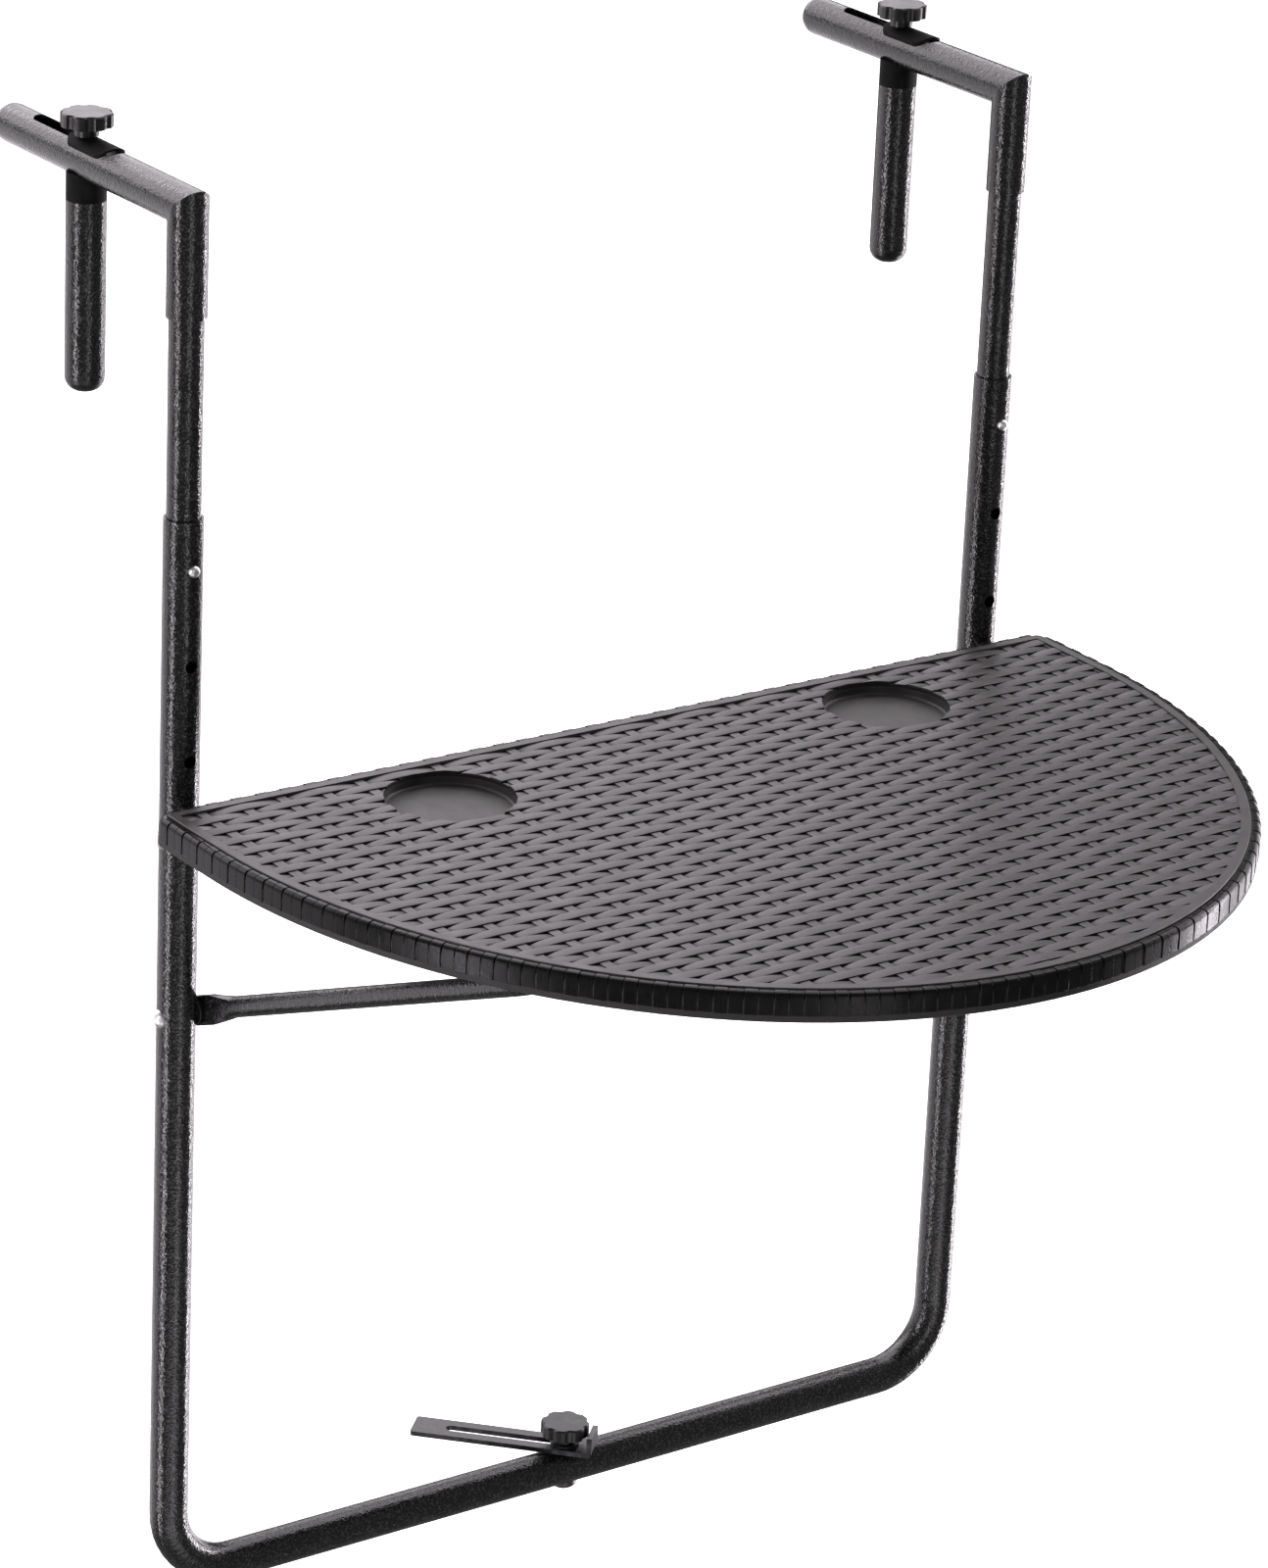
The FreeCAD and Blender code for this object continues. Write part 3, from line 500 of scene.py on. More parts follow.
class Part(Enum):
    """What a selection is made of, in the order of Blender's select modes."""

    POINTS = 0
    EDGES = 1
    FACES = 2


def clear_selection() -> None:
    """Leaves edit mode and deselects every object."""
    if bpy.context.object is not None and bpy.context.object.mode != "OBJECT":
        bpy.ops.object.mode_set(mode="OBJECT")
    bpy.ops.object.select_all(action="DESELECT")


def take_up(piece: Piece) -> None:
    """Makes a piece the only selected and active one.

    Args:
        piece: The piece.
    """
    clear_selection()
    piece.select_set(True)
    bpy.context.view_layer.objects.active = piece


def named(name: str) -> Piece:
    """Names the piece that an operator has just made.

    Args:
        name: Its name.

    Returns:
        The piece, with its place in its mesh.
    """
    piece = bpy.context.object
    piece.name = name
    piece.data.name = name
    bpy.ops.object.transform_apply(location=True, rotation=True, scale=True)
    return piece


@contextmanager
def editing(piece: Piece, part: Part = Part.FACES,
            wanted: Choice | None = None) -> Iterator[None]:
    """Opens a piece for editing, with all of it selected or what a choice picks.

    Args:
        piece: The piece.
        part: What the choice is made from.
        wanted: Says which, from a point's place and normal, an edge's two ends, or a face's middle
            and normal.
    """
    take_up(piece)
    chosen = []
    if wanted is not None:
        bpy.context.tool_settings.mesh_select_mode = [part is kind for kind in Part]
        mesh = piece.data
        for parts in (mesh.vertices, mesh.edges, mesh.polygons):
            parts.foreach_set("select", [False] * len(parts))
        if part is Part.POINTS:
            chosen = [point for point in mesh.vertices if wanted(point.co, point.normal)]
        elif part is Part.EDGES:
            ends = [[mesh.vertices[end].co for end in edge.vertices] for edge in mesh.edges]
            chosen = [edge for edge, pair in zip(mesh.edges, ends) if wanted(*pair)]
        else:
            chosen = [face for face in mesh.polygons if wanted(face.center, face.normal)]
        for item in chosen:
            item.select = True
    bpy.ops.object.mode_set(mode="EDIT")
    if wanted is None:
        bpy.ops.mesh.select_all(action="SELECT")
    yield
    bpy.ops.object.mode_set(mode="OBJECT")


def bevel(width: float, segments: int, affect: str = "EDGES") -> None:
    """Bevels what is selected.

    Args:
        width: How wide.
        segments: In how many steps.
        affect: EDGES or VERTICES.
    """
    bpy.ops.mesh.bevel(offset=width, offset_type="OFFSET", segments=segments, affect=affect)


def close_and_face_out(piece: Piece) -> None:
    """Merges doubled points and turns the faces outwards.

    Args:
        piece: The piece.
    """
    with editing(piece):
        bpy.ops.mesh.remove_doubles(threshold=0.002 * MM)
        bpy.ops.mesh.normals_make_consistent(inside=False)


def with_modifier(piece: Piece, kind: str, **settings: object) -> None:
    """Adds a modifier and applies it.

    Args:
        piece: The piece.
        kind: The modifier's type.
        settings: Its properties.
    """
    take_up(piece)
    added = piece.modifiers.new(kind.lower(), kind)
    for key, value in settings.items():
        setattr(added, key, value)
    bpy.ops.object.modifier_apply(modifier=added.name)


def cut(piece: Piece, tool: Piece, operation: str = "DIFFERENCE",
        keep_tool: bool = False) -> None:
    """Cuts a piece with another, keeps only what they share, or unites them.

    Args:
        piece: The piece.
        tool: The other one.
        operation: DIFFERENCE, INTERSECT or UNION.
        keep_tool: Whether the other one stays for another cut.
    """
    with_modifier(piece, "BOOLEAN", object=tool, operation=operation, solver="EXACT")
    if not keep_tool:
        bpy.data.objects.remove(tool)


def merged_copy(source: Piece, name: str, flat: float = 0.4) -> Piece:
    """A copy of a CAD node's mesh with its loose triangles merged into flat faces.

    Args:
        source: The node's object.
        name: The copy's name.
        flat: The angle in degrees up to which faces count as one.

    Returns:
        The copy.
    """
    piece = placed_copy(source, Matrix.Identity(4))
    piece.name = name
    piece.data.name = name
    piece.data.materials.clear()
    take_up(piece)
    bpy.ops.mesh.customdata_custom_splitnormals_clear()
    with editing(piece):
        bpy.ops.mesh.remove_doubles(threshold=0.001 * MM)
        bpy.ops.mesh.dissolve_limited(angle_limit=math.radians(flat))
    return piece


def joined(pieces: list[Piece], name: str) -> Piece:
    """Joins pieces into one.

    Args:
        pieces: The pieces.
        name: The name of the result.

    Returns:
        The result.
    """
    clear_selection()
    for piece in pieces:
        piece.select_set(True)
    bpy.context.view_layer.objects.active = pieces[0]
    bpy.ops.object.join()
    pieces[0].name = name
    pieces[0].data.name = name
    return pieces[0]


def placed_copy(piece: Piece, place: Matrix) -> Piece:
    """A copy with its own mesh, moved to a place.

    Args:
        piece: The pattern piece.
        place: Where it goes.

    Returns:
        The copy.
    """
    copy = bpy.data.objects.new(piece.name, piece.data.copy())
    copy.data.transform(place)
    bpy.context.scene.collection.objects.link(copy)
    return copy


def smooth(piece: Piece, degrees: float = 35.0) -> None:
    """Shades a piece smooth where its faces meet at less than an angle.

    Args:
        piece: The piece.
        degrees: The angle.
    """
    take_up(piece)
    bpy.ops.object.shade_smooth_by_angle(angle=math.radians(degrees))


def crisp(piece: Piece, degrees: float) -> None:
    """Shades a piece smooth but keeps its large faces flat between their bevels.

    Args:
        piece: The piece.
        degrees: Faces that meet at more than this angle stay sharp.
    """
    smooth(piece, degrees)
    with_modifier(piece, "WEIGHTED_NORMAL", keep_sharp=True, weight=100)


def dress(piece: Piece, material: Material) -> None:
    """Gives a piece one finish all over.

    Args:
        piece: The piece.
        material: The finish.
    """
    piece.data.materials.clear()
    piece.data.materials.append(material)


# Table top


@dataclass
class TopOutline:
    """The table top seen from above: straight back, short sides and an elliptical front."""

    half_width: float
    back_y: float
    front_y: float
    ellipse_depth: float = 347 * MM
    corner_radius: float = 9 * MM
    least_radius: float = 0.6 * MM
    corner_steps: int = 8
    round_steps: int = 4
    steps: int = 192
    fine_steps: int = 1536

    @property
    def ellipse_y(self) -> float:
        """Where the front ellipse has its centre."""
        return self.front_y + self.ellipse_depth

    def slab(self, name: str, inset: float, low: float, high: float, rounding: float = 0.0) -> Piece:
        """A flat slab with this outline.

        Args:
            name: Its name.
            inset: How far inside the outline it stays.
            low: The height of its underside.
            high: The height of its upper side.
            rounding: The radius of its upper edge, where that isn't sharp.

        Returns:
            The slab.
        """
        clear_selection()
        bpy.ops.mesh.primitive_circle_add(vertices=self.steps, radius=1.0, fill_type="NGON",
                                          location=(0.0, 0.0, 0.0))
        piece = named(name)
        middle = self.ellipse_y
        back = self.back_y - inset
        with editing(piece):
            bpy.ops.transform.resize(value=(self.half_width - inset, self.ellipse_depth - inset, 1.0))
            bpy.ops.transform.translate(value=(0.0, middle, low))
            bpy.ops.mesh.bisect(plane_co=(0.0, middle, low), plane_no=(0.0, 1.0, 0.0),
                                clear_outer=True, use_fill=False)
        with editing(piece, Part.EDGES,
                     lambda a, b: min(a.y, b.y) > middle - NEARLY and abs(a.x - b.x) > NEARLY):
            bpy.ops.mesh.extrude_region_move(TRANSFORM_OT_translate={"value": (0.0, back - middle, 0.0)})
        with editing(piece, Part.POINTS, lambda spot, normal: abs(spot.y - back) < NEARLY):
            bevel(max(self.corner_radius - inset, self.least_radius), self.corner_steps, "VERTICES")
            bpy.ops.mesh.select_all(action="SELECT")
            bpy.ops.mesh.extrude_region_move(TRANSFORM_OT_translate={"value": (0.0, 0.0, high - low)})
        close_and_face_out(piece)
        if rounding > 0.0:
            with editing(piece, Part.EDGES, lambda a, b: min(a.z, b.z) > high - NEARLY):
                bevel(rounding, self.round_steps)
            close_and_face_out(piece)
        return piece

    def stations(self, pitch: float) -> list[Matrix]:
        """Evenly spaced places round the front and along the back.

        Args:
            pitch: The wished spacing.

        Returns:
            Frames with X along the edge, Y outwards and Z up, on the outline.
        """
        side_y = self.back_y - self.corner_radius
        front = [Vector((-self.half_width, side_y, 0.0))]
        for step in range(self.fine_steps + 1):
            angle = math.pi * step / self.fine_steps
            front.append(Vector((-self.half_width * math.cos(angle),
                                 self.ellipse_y - self.ellipse_depth * math.sin(angle), 0.0)))
        front.append(Vector((self.half_width, side_y, 0.0)))
        inner = self.half_width - self.corner_radius
        back = [Vector((inner, self.back_y, 0.0)), Vector((-inner, self.back_y, 0.0))]
        return self._along(front, pitch) + self._along(back, pitch)

    @staticmethod
    def _along(line: list[Vector], pitch: float) -> list[Matrix]:
        """Evenly spaced frames along a line, half a pitch from its ends.

        Args:
            line: Its points.
            pitch: The wished spacing.

        Returns:
            The frames, an even number of them.
        """
        lengths = [(b - a).length for a, b in zip(line, line[1:])]
        count = 2 * round(sum(lengths) / pitch / 2)
        step = sum(lengths) / count
        frames = []
        gone = 0.0
        wanted = step / 2
        for a, b, length in zip(line, line[1:], lengths):
            while wanted <= gone + length and len(frames) < count:
                spot = a.lerp(b, (wanted - gone) / length)
                along = (b - a).normalized()
                out = Vector((along.y, -along.x, 0.0))
                frame = Matrix((-along, out, Vector((0.0, 0.0, 1.0)))).transposed().to_4x4()
                frames.append(Matrix.Translation(spot) @ frame)
                wanted += step
            gone += length
        return frames


@dataclass
class WovenTop:
    """The moulded top: its plate and ribs, woven field, wrapped rim and drink wells."""

    outline: TopOutline
    top_z: float
    well_x: float = 146.5 * MM
    well_from_back: float = 54.5 * MM
    well_radius: float = 36.2 * MM
    well_depth: float = 8.5 * MM
    well_floor_round: float = 1.6 * MM
    well_margin: float = 0.2 * MM
    well_sides: int = 96
    hair: float = 0.02 * MM
    mould_depth: float = 40 * MM
    core_depth: float = 6 * MM
    core_gap: float = 1 * MM
    cutter_reach: float = 9 * MM
    cutter_rise: float = 4 * MM
    field_inset: float = 10.8 * MM
    field_depth: float = 2.5 * MM
    field_overlap: float = 0.1 * MM
    field_underlap: float = 0.3 * MM
    groove_inset: float = 4.4 * MM
    groove_width: float = 0.9 * MM
    groove_depth: float = 1.7 * MM
    shoulder_depth: float = 0.9 * MM
    edge_round: float = 5.5 * MM
    lip_round: float = 0.6 * MM
    stake_pitch: float = 24.65 * MM
    stake_shift: float = -5.2 * MM
    stake_width: float = 6.0 * MM
    stake_height: float = 1.22 * MM
    stake_overlap: float = 1.02
    stake_inset: float = 0.55 * MM
    stake_rise: float = 0.16 * MM
    first_row: float = 14.7 * MM
    row_pitch: float = 7.76 * MM
    strand_length: float = 45.9 * MM
    strand_width: float = 7.80 * MM
    strand_crown: float = 2.3 * MM
    strand_tip: float = 0.24
    strand_bow: float = 0.9
    strand_taper: float = 3.1
    strand_end: float = 0.14
    strand_shoulder: float = 0.18
    strand_square: float = 0.28
    shoulder_power: int = 6
    strand_steps: int = 14
    strand_rows: int = 4
    strand_sunk: float = 0.05 * MM
    wrap_pitch: float = 7.6 * MM
    wrap_gap: float = 0.7 * MM
    low_wrap_gap: float = 0.14 * MM
    wrap_proud: float = 0.55 * MM
    wrap_low: float = 0.15 * MM
    wrap_foot: float = 12.2 * MM
    wrap_round: float = 3.0 * MM
    wrap_round_steps: int = 5
    wrap_tail: float = 1.5 * MM
    wrap_lap: float = 0.1 * MM
    wrap_bevel: float = 0.34 * MM
    wrap_bevel_steps: int = 2
    plate_crease: float = 30.0
    weave_crease: float = 50.0

    @property
    def well_y(self) -> float:
        """The line of the wells' centres."""
        return self.outline.back_y - self.well_from_back

    @property
    def floor_z(self) -> float:
        """The height of the sunk field."""
        return self.top_z - self.field_depth

    def mould(self) -> Piece:
        """The shape of the moulding's upper side, without its wells.

        Returns:
            A solid with the flat band, the sunk field, the shoulder under the wraps and the groove.
        """
        outline = self.outline
        high = self.top_z - self.hair
        above = self.top_z + self.cutter_rise
        lip = self.groove_inset + self.groove_width
        base = outline.slab("edge_mould", self.hair, self.top_z - self.mould_depth,
                            high - self.shoulder_depth, self.edge_round)
        ring = outline.slab("groove_cutter", self.groove_inset, high - self.groove_depth, above)
        cut(ring, outline.slab("groove_core", lip + self.core_gap, high - self.cutter_reach,
                               self.top_z + self.cutter_reach))
        cut(base, ring)
        core = outline.slab("band_core", lip, high - self.core_depth, high, self.lip_round)
        cut(base, core, "UNION")
        cut(base, outline.slab("field_cutter", self.field_inset, self.floor_z, above))
        return base

    def is_on_floor_rim(self, *ends: Vector) -> bool:
        """Whether an edge lies round a well's floor.

        Args:
            ends: The edge's two ends.

        Returns:
            True if it does.
        """
        well_z = self.top_z - self.well_depth
        reaches = [math.hypot(abs(end.x) - self.well_x, end.y - self.well_y) for end in ends]
        is_level = all(abs(end.z - well_z) < NEARLY for end in ends)
        return is_level and all(abs(reach - self.well_radius) < self.well_margin for reach in reaches)

    def plate(self, source: Piece) -> Piece:
        """The moulding itself, with the sunk field, and the shoulder and groove round it.

        Args:
            source: The CAD node.

        Returns:
            The plate.
        """
        piece = merged_copy(source, "moulded_top")
        cut(piece, self.mould(), "INTERSECT")
        with editing(piece, Part.EDGES, self.is_on_floor_rim):
            bevel(self.well_floor_round, self.outline.round_steps)
        crisp(piece, self.plate_crease)
        return piece

    def strand(self) -> Piece:
        """One flat strand that bows up over a stake, at the middle of the frame.

        Returns:
            The strand, along X, with its underside at zero.
        """
        clear_selection()
        bpy.ops.mesh.primitive_grid_add(x_subdivisions=self.strand_steps, size=1.0,
                                        y_subdivisions=self.strand_rows)
        piece = named("strand")
        with editing(piece):
            bpy.ops.mesh.extrude_region_move(TRANSFORM_OT_translate={"value": (0.0, 0.0, 1.0)})
        for point in piece.data.vertices:
            along = point.co.x * 2
            across = point.co.y * 2
            across = math.copysign(abs(across) ** self.strand_square, across)
            taper = math.sqrt(max(1 - abs(along) ** self.strand_taper, 0.0))
            half = self.strand_width * max(taper / 2, self.strand_end)
            arch = 1 - self.strand_shoulder * abs(across) ** self.shoulder_power
            bow = math.cos(along * math.pi / 2) ** self.strand_bow
            rise = self.strand_crown * arch * (self.strand_tip + (1 - self.strand_tip) * bow)
            is_top = point.co.z > 0.5
            point.co = (along * self.strand_length / 2, across * half, rise if is_top else 0.0)
        close_and_face_out(piece)
        return piece

    def stake(self) -> Piece:
        """The short length of an upright stake that shows between two strands.

        Returns:
            The stake, at the middle of the frame.
        """
        clear_selection()
        size = (self.stake_width, self.row_pitch * self.stake_overlap, self.stake_height)
        bpy.ops.mesh.primitive_cube_add(size=1.0, location=(0.0, 0.0, self.stake_height / 2), scale=size)
        piece = named("stake")
        with editing(piece, Part.FACES, lambda middle, normal: middle.z > self.stake_height - NEARLY):
            bpy.ops.mesh.inset(thickness=self.stake_inset)
            bpy.ops.transform.translate(value=(0.0, 0.0, self.stake_rise))
        return piece

    def is_outside(self, x: float, y: float) -> bool:
        """Whether a strand at a place would lie wholly outside the field.

        Args:
            x: The strand's middle.
            y: The strand's middle.

        Returns:
            True where nothing of it would be left.
        """
        outline = self.outline
        near_x = max(abs(x) - self.strand_length / 2, 0.0)
        half = outline.half_width - self.field_inset
        if near_x > half:
            return True
        nearest = y + self.row_pitch
        if nearest > outline.ellipse_y:
            return False
        fall = (outline.ellipse_y - nearest) / (outline.ellipse_depth - self.field_inset)
        return (near_x / half) ** 2 + fall ** 2 > 1.0

    def field_mould(self) -> Piece:
        """The space that the weave may fill: the sunk field without the wells.

        Returns:
            The space as a solid.
        """
        mould = self.outline.slab("field_mould", self.field_inset - self.field_overlap,
                                  self.floor_z - self.field_underlap, self.top_z + self.cutter_rise)
        for side in (-1, 1):
            clear_selection()
            bpy.ops.mesh.primitive_cylinder_add(vertices=self.well_sides, radius=self.well_radius,
                                                depth=2 * self.cutter_reach,
                                                location=(side * self.well_x, self.well_y, self.top_z))
            cut(mould, named("well_cutter"))
        return mould

    def weave(self) -> list[Piece]:
        """The strands and stakes over the whole field, cut to its edge and round the wells.

        Returns:
            The pieces.
        """
        back = self.outline.back_y - self.first_row
        rows = int((back - self.outline.front_y) / self.row_pitch) + 1
        columns = int(self.outline.half_width / self.stake_pitch) + 2
        strand = self.strand()
        stake = self.stake()
        groups: dict[str, list[Piece]] = {"even_strands": [], "odd_strands": [], "stakes": []}
        for row in range(rows):
            y = back - row * self.row_pitch
            for column in range(-columns, columns + 1):
                x = column * self.stake_pitch + self.stake_shift
                if self.is_outside(x, y):
                    continue
                spot = Matrix.Translation((x, y, self.floor_z - self.strand_sunk))
                if (row + column) % 2:
                    groups["stakes"].append(placed_copy(stake, spot))
                else:
                    group = "odd_strands" if row % 2 else "even_strands"
                    groups[group].append(placed_copy(strand, spot))
        bpy.data.objects.remove(strand)
        bpy.data.objects.remove(stake)
        mould = self.field_mould()
        finished = []
        for name, members in groups.items():
            piece = joined(members, name)
            cut(piece, mould, "INTERSECT", keep_tool=True)
            crisp(piece, self.weave_crease)
            finished.append(piece)
        bpy.data.objects.remove(mould)
        return finished

    def wrap(self, width: float, proud: float) -> Piece:
        """One strand wrapped over the rim, at the middle of the frame.

        Args:
            width: Its width along the rim.
            proud: How far it stands out.

        Returns:
            The wrap, with the rim's face at Y zero and the top at Z zero.
        """
        clear_selection()
        high = proud / 2
        tail = -(self.groove_inset + self.wrap_tail)
        inner = -(self.groove_inset - self.wrap_lap)
        half = width / 2 - NEARLY
        bpy.ops.mesh.primitive_cube_add(
            size=1.0,
            location=(0.0, (proud + tail) / 2, (high - self.wrap_foot) / 2),
            scale=(width, proud - tail, self.wrap_foot + high))
        piece = named("wrap")

        def is_top_front(a: Vector, b: Vector) -> bool:
            """Whether an edge is the one between the wrap's top and its outer face."""
            return min(a.y, b.y) > proud - NEARLY and min(a.z, b.z) > high - NEARLY

        def is_side_or_foot(a: Vector, b: Vector) -> bool:
            """Whether an edge runs round the sides or the foot of the wrap's outer face."""
            foot_z = NEARLY - self.wrap_foot
            if max(a.z, b.z) < foot_z:
                return min(a.y, b.y) > proud - NEARLY
            same_side = min(abs(a.x), abs(b.x)) > half and a.x * b.x > 0
            return same_side and max(a.y, b.y) > inner + NEARLY

        with editing(piece, Part.EDGES, is_top_front):
            bevel(self.wrap_round, self.wrap_round_steps)
            bpy.ops.mesh.select_all(action="SELECT")
            bpy.ops.mesh.bisect(plane_co=(0.0, inner, 0.0), plane_no=(0.0, 1.0, 0.0), use_fill=True,
                                clear_inner=True)
        with editing(piece, Part.EDGES, is_side_or_foot):
            bevel(self.wrap_bevel, self.wrap_bevel_steps)
        return piece

    def wraps(self) -> Piece:
        """The row of wraps round the rim, one proud and the next one low.

        Returns:
            The wraps as one piece.
        """
        proud = self.wrap(self.wrap_pitch - self.wrap_gap, self.wrap_proud)
        low = self.wrap(self.wrap_pitch - self.low_wrap_gap, self.wrap_low)
        lift = Matrix.Translation((0.0, 0.0, self.top_z - self.shoulder_depth))
        copies = []
        for index, place in enumerate(self.outline.stations(self.wrap_pitch)):
            copies.append(placed_copy(low if index % 2 else proud, lift @ place))
        bpy.data.objects.remove(proud)
        bpy.data.objects.remove(low)
        piece = joined(copies, "rim_wraps")
        crisp(piece, self.weave_crease)
        return piece

    def build(self, source: Piece) -> None:
        """Makes every piece of the top, dresses it and ties it to the table.

        Args:
            source: The CAD node of the top.
        """
        # the plate and the weave carry painted shade in their gaps, down the strands' sides and on the
        # plate's skirt
        smooth_look = MouldedPlastic("moulded_top", gap_top=self.top_z, skirt_span=(9.5 * MM, 11.0 * MM))
        woven_look = MouldedPlastic("woven_top", gap_top=self.top_z, side_shade_span=(0.55, 0.85))
        # painted shade: the rim is the top's own plastic, given a far darker colour that stands in for the
        # shade on its sides
        shaded_rim_look = MouldedPlastic("shaded_wrapped_rim", base=(0.007, 0.0067, 0.007),
                                  shade=(0.0035, 0.0035, 0.0035), drawn_rates=(1300.0, 1300.0, 60.0),
                                  relief=0.08 * MM, roughness=(0.24, 0.34), specular=0.16)
        plate = self.plate(source)
        dressed = {smooth_look: [plate], woven_look: self.weave(), shaded_rim_look: [self.wraps()]}
        for look, pieces in dressed.items():
            material = look.make()
            for piece in pieces:
                dress(piece, material)
                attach(piece, "table")
                LOG.info("table top piece %s: %d faces", piece.name, len(piece.data.polygons))
        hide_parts("table_top")


# Frame and fittings


@dataclass(frozen=True)
class ShortenedScrews:
    """The catches' screws, ended below the sunk field, where the moulding is thinner."""

    field_z: float
    clearance: float = 0.4 * MM

    def build(self, source: Piece, finish: Material) -> None:
        """Cuts off the tips of the screws.

        Args:
            source: The screws' CAD node.
            finish: Their finish.
        """
        piece = merged_copy(source, "catch_screws_in_boss")
        limit = (0.0, 0.0, self.field_z - self.clearance)
        with editing(piece):
            bpy.ops.mesh.bisect(plane_co=limit, plane_no=(0.0, 0.0, 1.0), use_fill=True, clear_outer=True)
        smooth(piece)
        dress(piece, finish)
        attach(piece, "table")
        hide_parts("catch_screws")


@dataclass(frozen=True)
class PressedSpring:
    """The leaf spring behind a snap button, which the button presses towards the tube's far wall."""

    side: str
    press: float = 4.4 * MM

    def build(self, source: Piece, finish: Material) -> None:
        """Makes a smoothed copy of the spring, dressed and tied to its hook.

        Args:
            source: The spring's CAD node.
            finish: Its finish.
        """
        piece = merged_copy(source, f"{self.side}_leaf_spring")
        smooth(piece)
        dress(piece, finish)
        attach(piece, f"{self.side}_hook")
        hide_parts(f"{self.side}_button_spring")
        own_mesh(piece)


WORDS_BY_LOOK = {
    Look.BRASS: ("knob_insert",),
    Look.BAR: ("spacer_bolt", "spacer_washer", "spacer_bar"),
    Look.ZINC: ("clamp_bolt", "button_spring", "screws", "bracket"),
    Look.PLASTIC: ("drop_tube_cap", "knob", "table_top"),
    Look.MATT_PLASTIC: ("slide_plate", "saddle", "brace_catch"),
    Look.STEEL: ("snap_button", "rivet"),
    Look.NYLON: ("washer",),
    Look.COAT: ("frame_tube", "hook_arm", "inner_tube", "drop_tube", "brace_rod"),
}


@dataclass
class CarriedNodes:
    """The CAD nodes that stay as they are and get their finishes."""

    nodes: dict[str, Piece]

    @staticmethod
    def look_of(name: str) -> Look:
        """Finds a node's finish by the first listed word that its name holds.

        Args:
            name: The node's name.

        Returns:
            The finish.
        """
        for look, words in WORDS_BY_LOOK.items():
            if any(word in name for word in words):
                return look
        raise KeyError(f"no finish for {name}")

    def dress(self, finishes: dict[Look, Material]) -> None:
        """Gives every node its finish.

        Args:
            finishes: The finishes.
        """
        for name, node in sorted(self.nodes.items()):
            look = self.look_of(name)
            slots = node.material_slots
            if len(slots) == 0:
                node.data.materials.append(finishes[look])
            for slot in slots:
                slot.material = finishes[look]
            LOG.info("node %s: %s", name, look.value)


# Studio


@dataclass
class PhotographView:
    """The camera at the photograph's place."""

    place: Point = (-1.83581, -2.65653, 0.88276)
    azimuth: float = -35.61
    elevation: float = 21.29
    roll: float = 2.54
    lens: float = 139.50
    sensor: float = 36.0

    def build(self) -> None:
        """Adds the camera and makes it the scene's own."""
        azimuth = math.radians(self.azimuth)
        elevation = math.radians(self.elevation)
        roll = math.radians(self.roll)
        back = Vector((math.sin(azimuth) * math.cos(elevation),
                       -math.cos(azimuth) * math.cos(elevation),
                       math.sin(elevation)))
        level = Vector((math.cos(azimuth), math.sin(azimuth), 0.0))
        rise = back.cross(level)
        right = math.cos(roll) * level + math.sin(roll) * rise
        up = math.cos(roll) * rise - math.sin(roll) * level
        data = bpy.data.cameras.new("photograph_view")
        data.lens = self.lens
        data.sensor_width = self.sensor
        camera = bpy.data.objects.new("photograph_view", data)
        turned = Matrix((right, up, back)).transposed().to_4x4()
        camera.matrix_world = Matrix.Translation(Vector(self.place)) @ turned
        bpy.context.scene.collection.objects.link(camera)
        bpy.context.scene.camera = camera


@dataclass(frozen=True)
class SoftLight:
    """One rectangular soft light that faces the object, turned from the camera's azimuth."""

    name: str
    turn: float
    away: float
    rise: float
    wide: float
    tall: float
    glow: float


STUDIO_LIGHTS = (
    SoftLight("overhead", turn=172.0, away=1.5, rise=2.9, wide=3.4, tall=2.4, glow=3.0),
    SoftLight("behind", turn=-163.0, away=3.9, rise=1.75, wide=3.2, tall=2.2, glow=2.5),
    SoftLight("low_behind", turn=-176.0, away=3.7, rise=-1.9, wide=4.2, tall=1.8, glow=1.4),
    SoftLight("left_strip", turn=-54.0, away=3.0, rise=-0.5, wide=0.24, tall=4.2, glow=21.0),
    SoftLight("front_strip", turn=22.0, away=3.3, rise=-0.5, wide=0.14, tall=4.2, glow=11.0),
    SoftLight("right_strip", turn=121.0, away=3.0, rise=-0.5, wide=0.24, tall=4.2, glow=40.0),
    SoftLight("right_broad", turn=149.0, away=3.2, rise=-1.0, wide=1.3, tall=3.2, glow=2.7),
    SoftLight("right_high", turn=138.0, away=2.8, rise=1.7, wide=1.5, tall=1.6, glow=2.8),
    SoftLight("low_front", turn=15.0, away=2.6, rise=-2.4, wide=3.6, tall=0.8, glow=2.2),
    SoftLight("left_fill", turn=-112.0, away=3.4, rise=-1.0, wide=4.4, tall=3.0, glow=1.3),
    SoftLight("left_high", turn=-122.0, away=3.0, rise=1.8, wide=3.0, tall=2.2, glow=3.2),
)


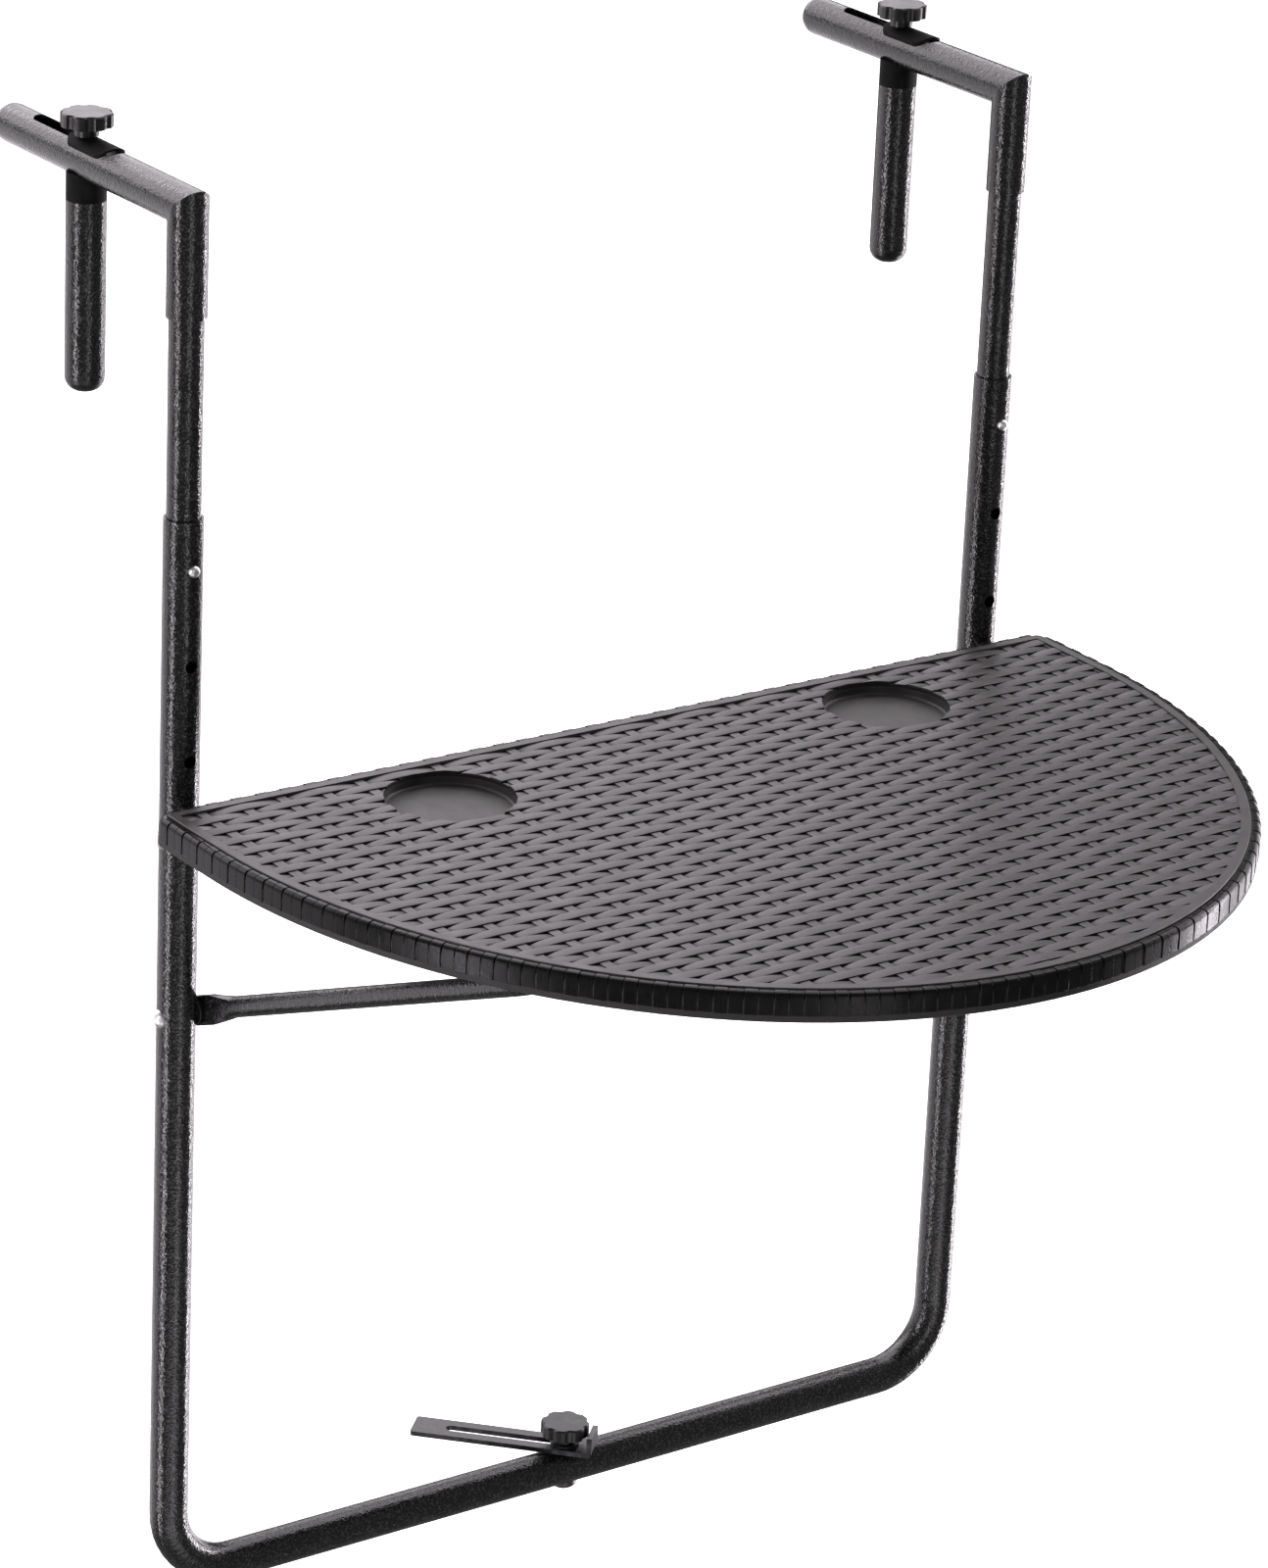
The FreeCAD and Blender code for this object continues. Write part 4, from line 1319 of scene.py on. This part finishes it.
@dataclass
class Studio:
    """Pale floor and backdrop, soft lights and a dim surround."""

    camera_azimuth: float
    target: Point = (0.0, -0.2, -0.35)
    floor_z: float = -1.05
    floor_size: float = 40.0
    backdrop_radius: float = 19.0
    surround: float = 0.20
    tint: Colour = (1.0, 0.94, 0.99)

    @staticmethod
    def show(piece: Piece, finish: str) -> None:
        """Makes a piece pale, and keeps it out of reflections, bounced light and shadows.

        Args:
            piece: A piece of the studio, which is no part of the object.
            finish: The name of its finish.
        """
        dress(piece, PaleSurface(finish).make())
        piece.visible_diffuse = False
        piece.visible_glossy = False
        piece.visible_transmission = False
        piece.visible_shadow = False

    def surfaces(self) -> None:
        """Adds the floor and the pale shell far round the object."""
        clear_selection()
        bpy.ops.mesh.primitive_plane_add(size=self.floor_size, location=(0.0, 0.0, self.floor_z))
        self.show(named("studio_floor"), "pale_floor")
        clear_selection()
        bpy.ops.mesh.primitive_ico_sphere_add(subdivisions=4, radius=self.backdrop_radius,
                                              location=(0.0, 0.0, 0.0))
        shell = named("studio_backdrop")
        with editing(shell):
            bpy.ops.mesh.flip_normals()
        self.show(shell, "pale_backdrop")

    def hang(self, light: SoftLight) -> None:
        """Adds one soft light, facing the object.

        Args:
            light: The light.
        """
        data = bpy.data.lights.new(light.name, "AREA")
        data.shape = "RECTANGLE"
        data.size = light.wide
        data.size_y = light.tall
        data.energy = light.glow * light.wide * light.tall * math.pi
        data.color = self.tint
        lamp = bpy.data.objects.new(light.name, data)
        azimuth = math.radians(self.camera_azimuth + light.turn)
        out = Vector((math.sin(azimuth), -math.cos(azimuth), 0.0))
        target = Vector(self.target)
        place = target + out * light.away + Vector((0.0, 0.0, light.rise))
        turned = (place - target).normalized().to_track_quat("Z", "Y").to_matrix().to_4x4()
        lamp.matrix_world = Matrix.Translation(place) @ turned
        lamp.visible_camera = False
        bpy.context.scene.collection.objects.link(lamp)

    def build(self) -> None:
        """Adds the floor, the backdrop, the lights and the surround."""
        self.surfaces()
        for light in STUDIO_LIGHTS:
            self.hang(light)
        world = bpy.data.worlds.new("surround")
        world.use_nodes = True
        background = world.node_tree.nodes["Background"]
        background.inputs["Color"].default_value = (1.0, 1.0, 1.0, 1.0)
        background.inputs["Strength"].default_value = self.surround
        bpy.context.scene.world = world
        bpy.context.scene.view_settings.view_transform = "Standard"


def main() -> None:
    """Builds and dresses the whole scene."""
    logging.basicConfig(level=logging.INFO, format="%(name)s: %(message)s")
    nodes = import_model()["nodes"]
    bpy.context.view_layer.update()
    view = PhotographView()
    view.build()
    Studio(camera_azimuth=view.azimuth).build()
    finishes = {look: finish.make() for look, finish in FINISHES.items()}
    CarriedNodes(nodes).dress(finishes)
    low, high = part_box("table_top")
    outline = TopOutline(half_width=high.x, back_y=high.y, front_y=low.y)
    top = WovenTop(outline, top_z=high.z)
    top.build(nodes["table_top"])
    ShortenedScrews(top.floor_z).build(nodes["catch_screws"], finishes[Look.ZINC])
    for side in ("left", "right"):
        PressedSpring(side).build(nodes[f"{side}_button_spring"], finishes[Look.ZINC])
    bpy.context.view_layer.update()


if __name__ == "__main__":
    main()
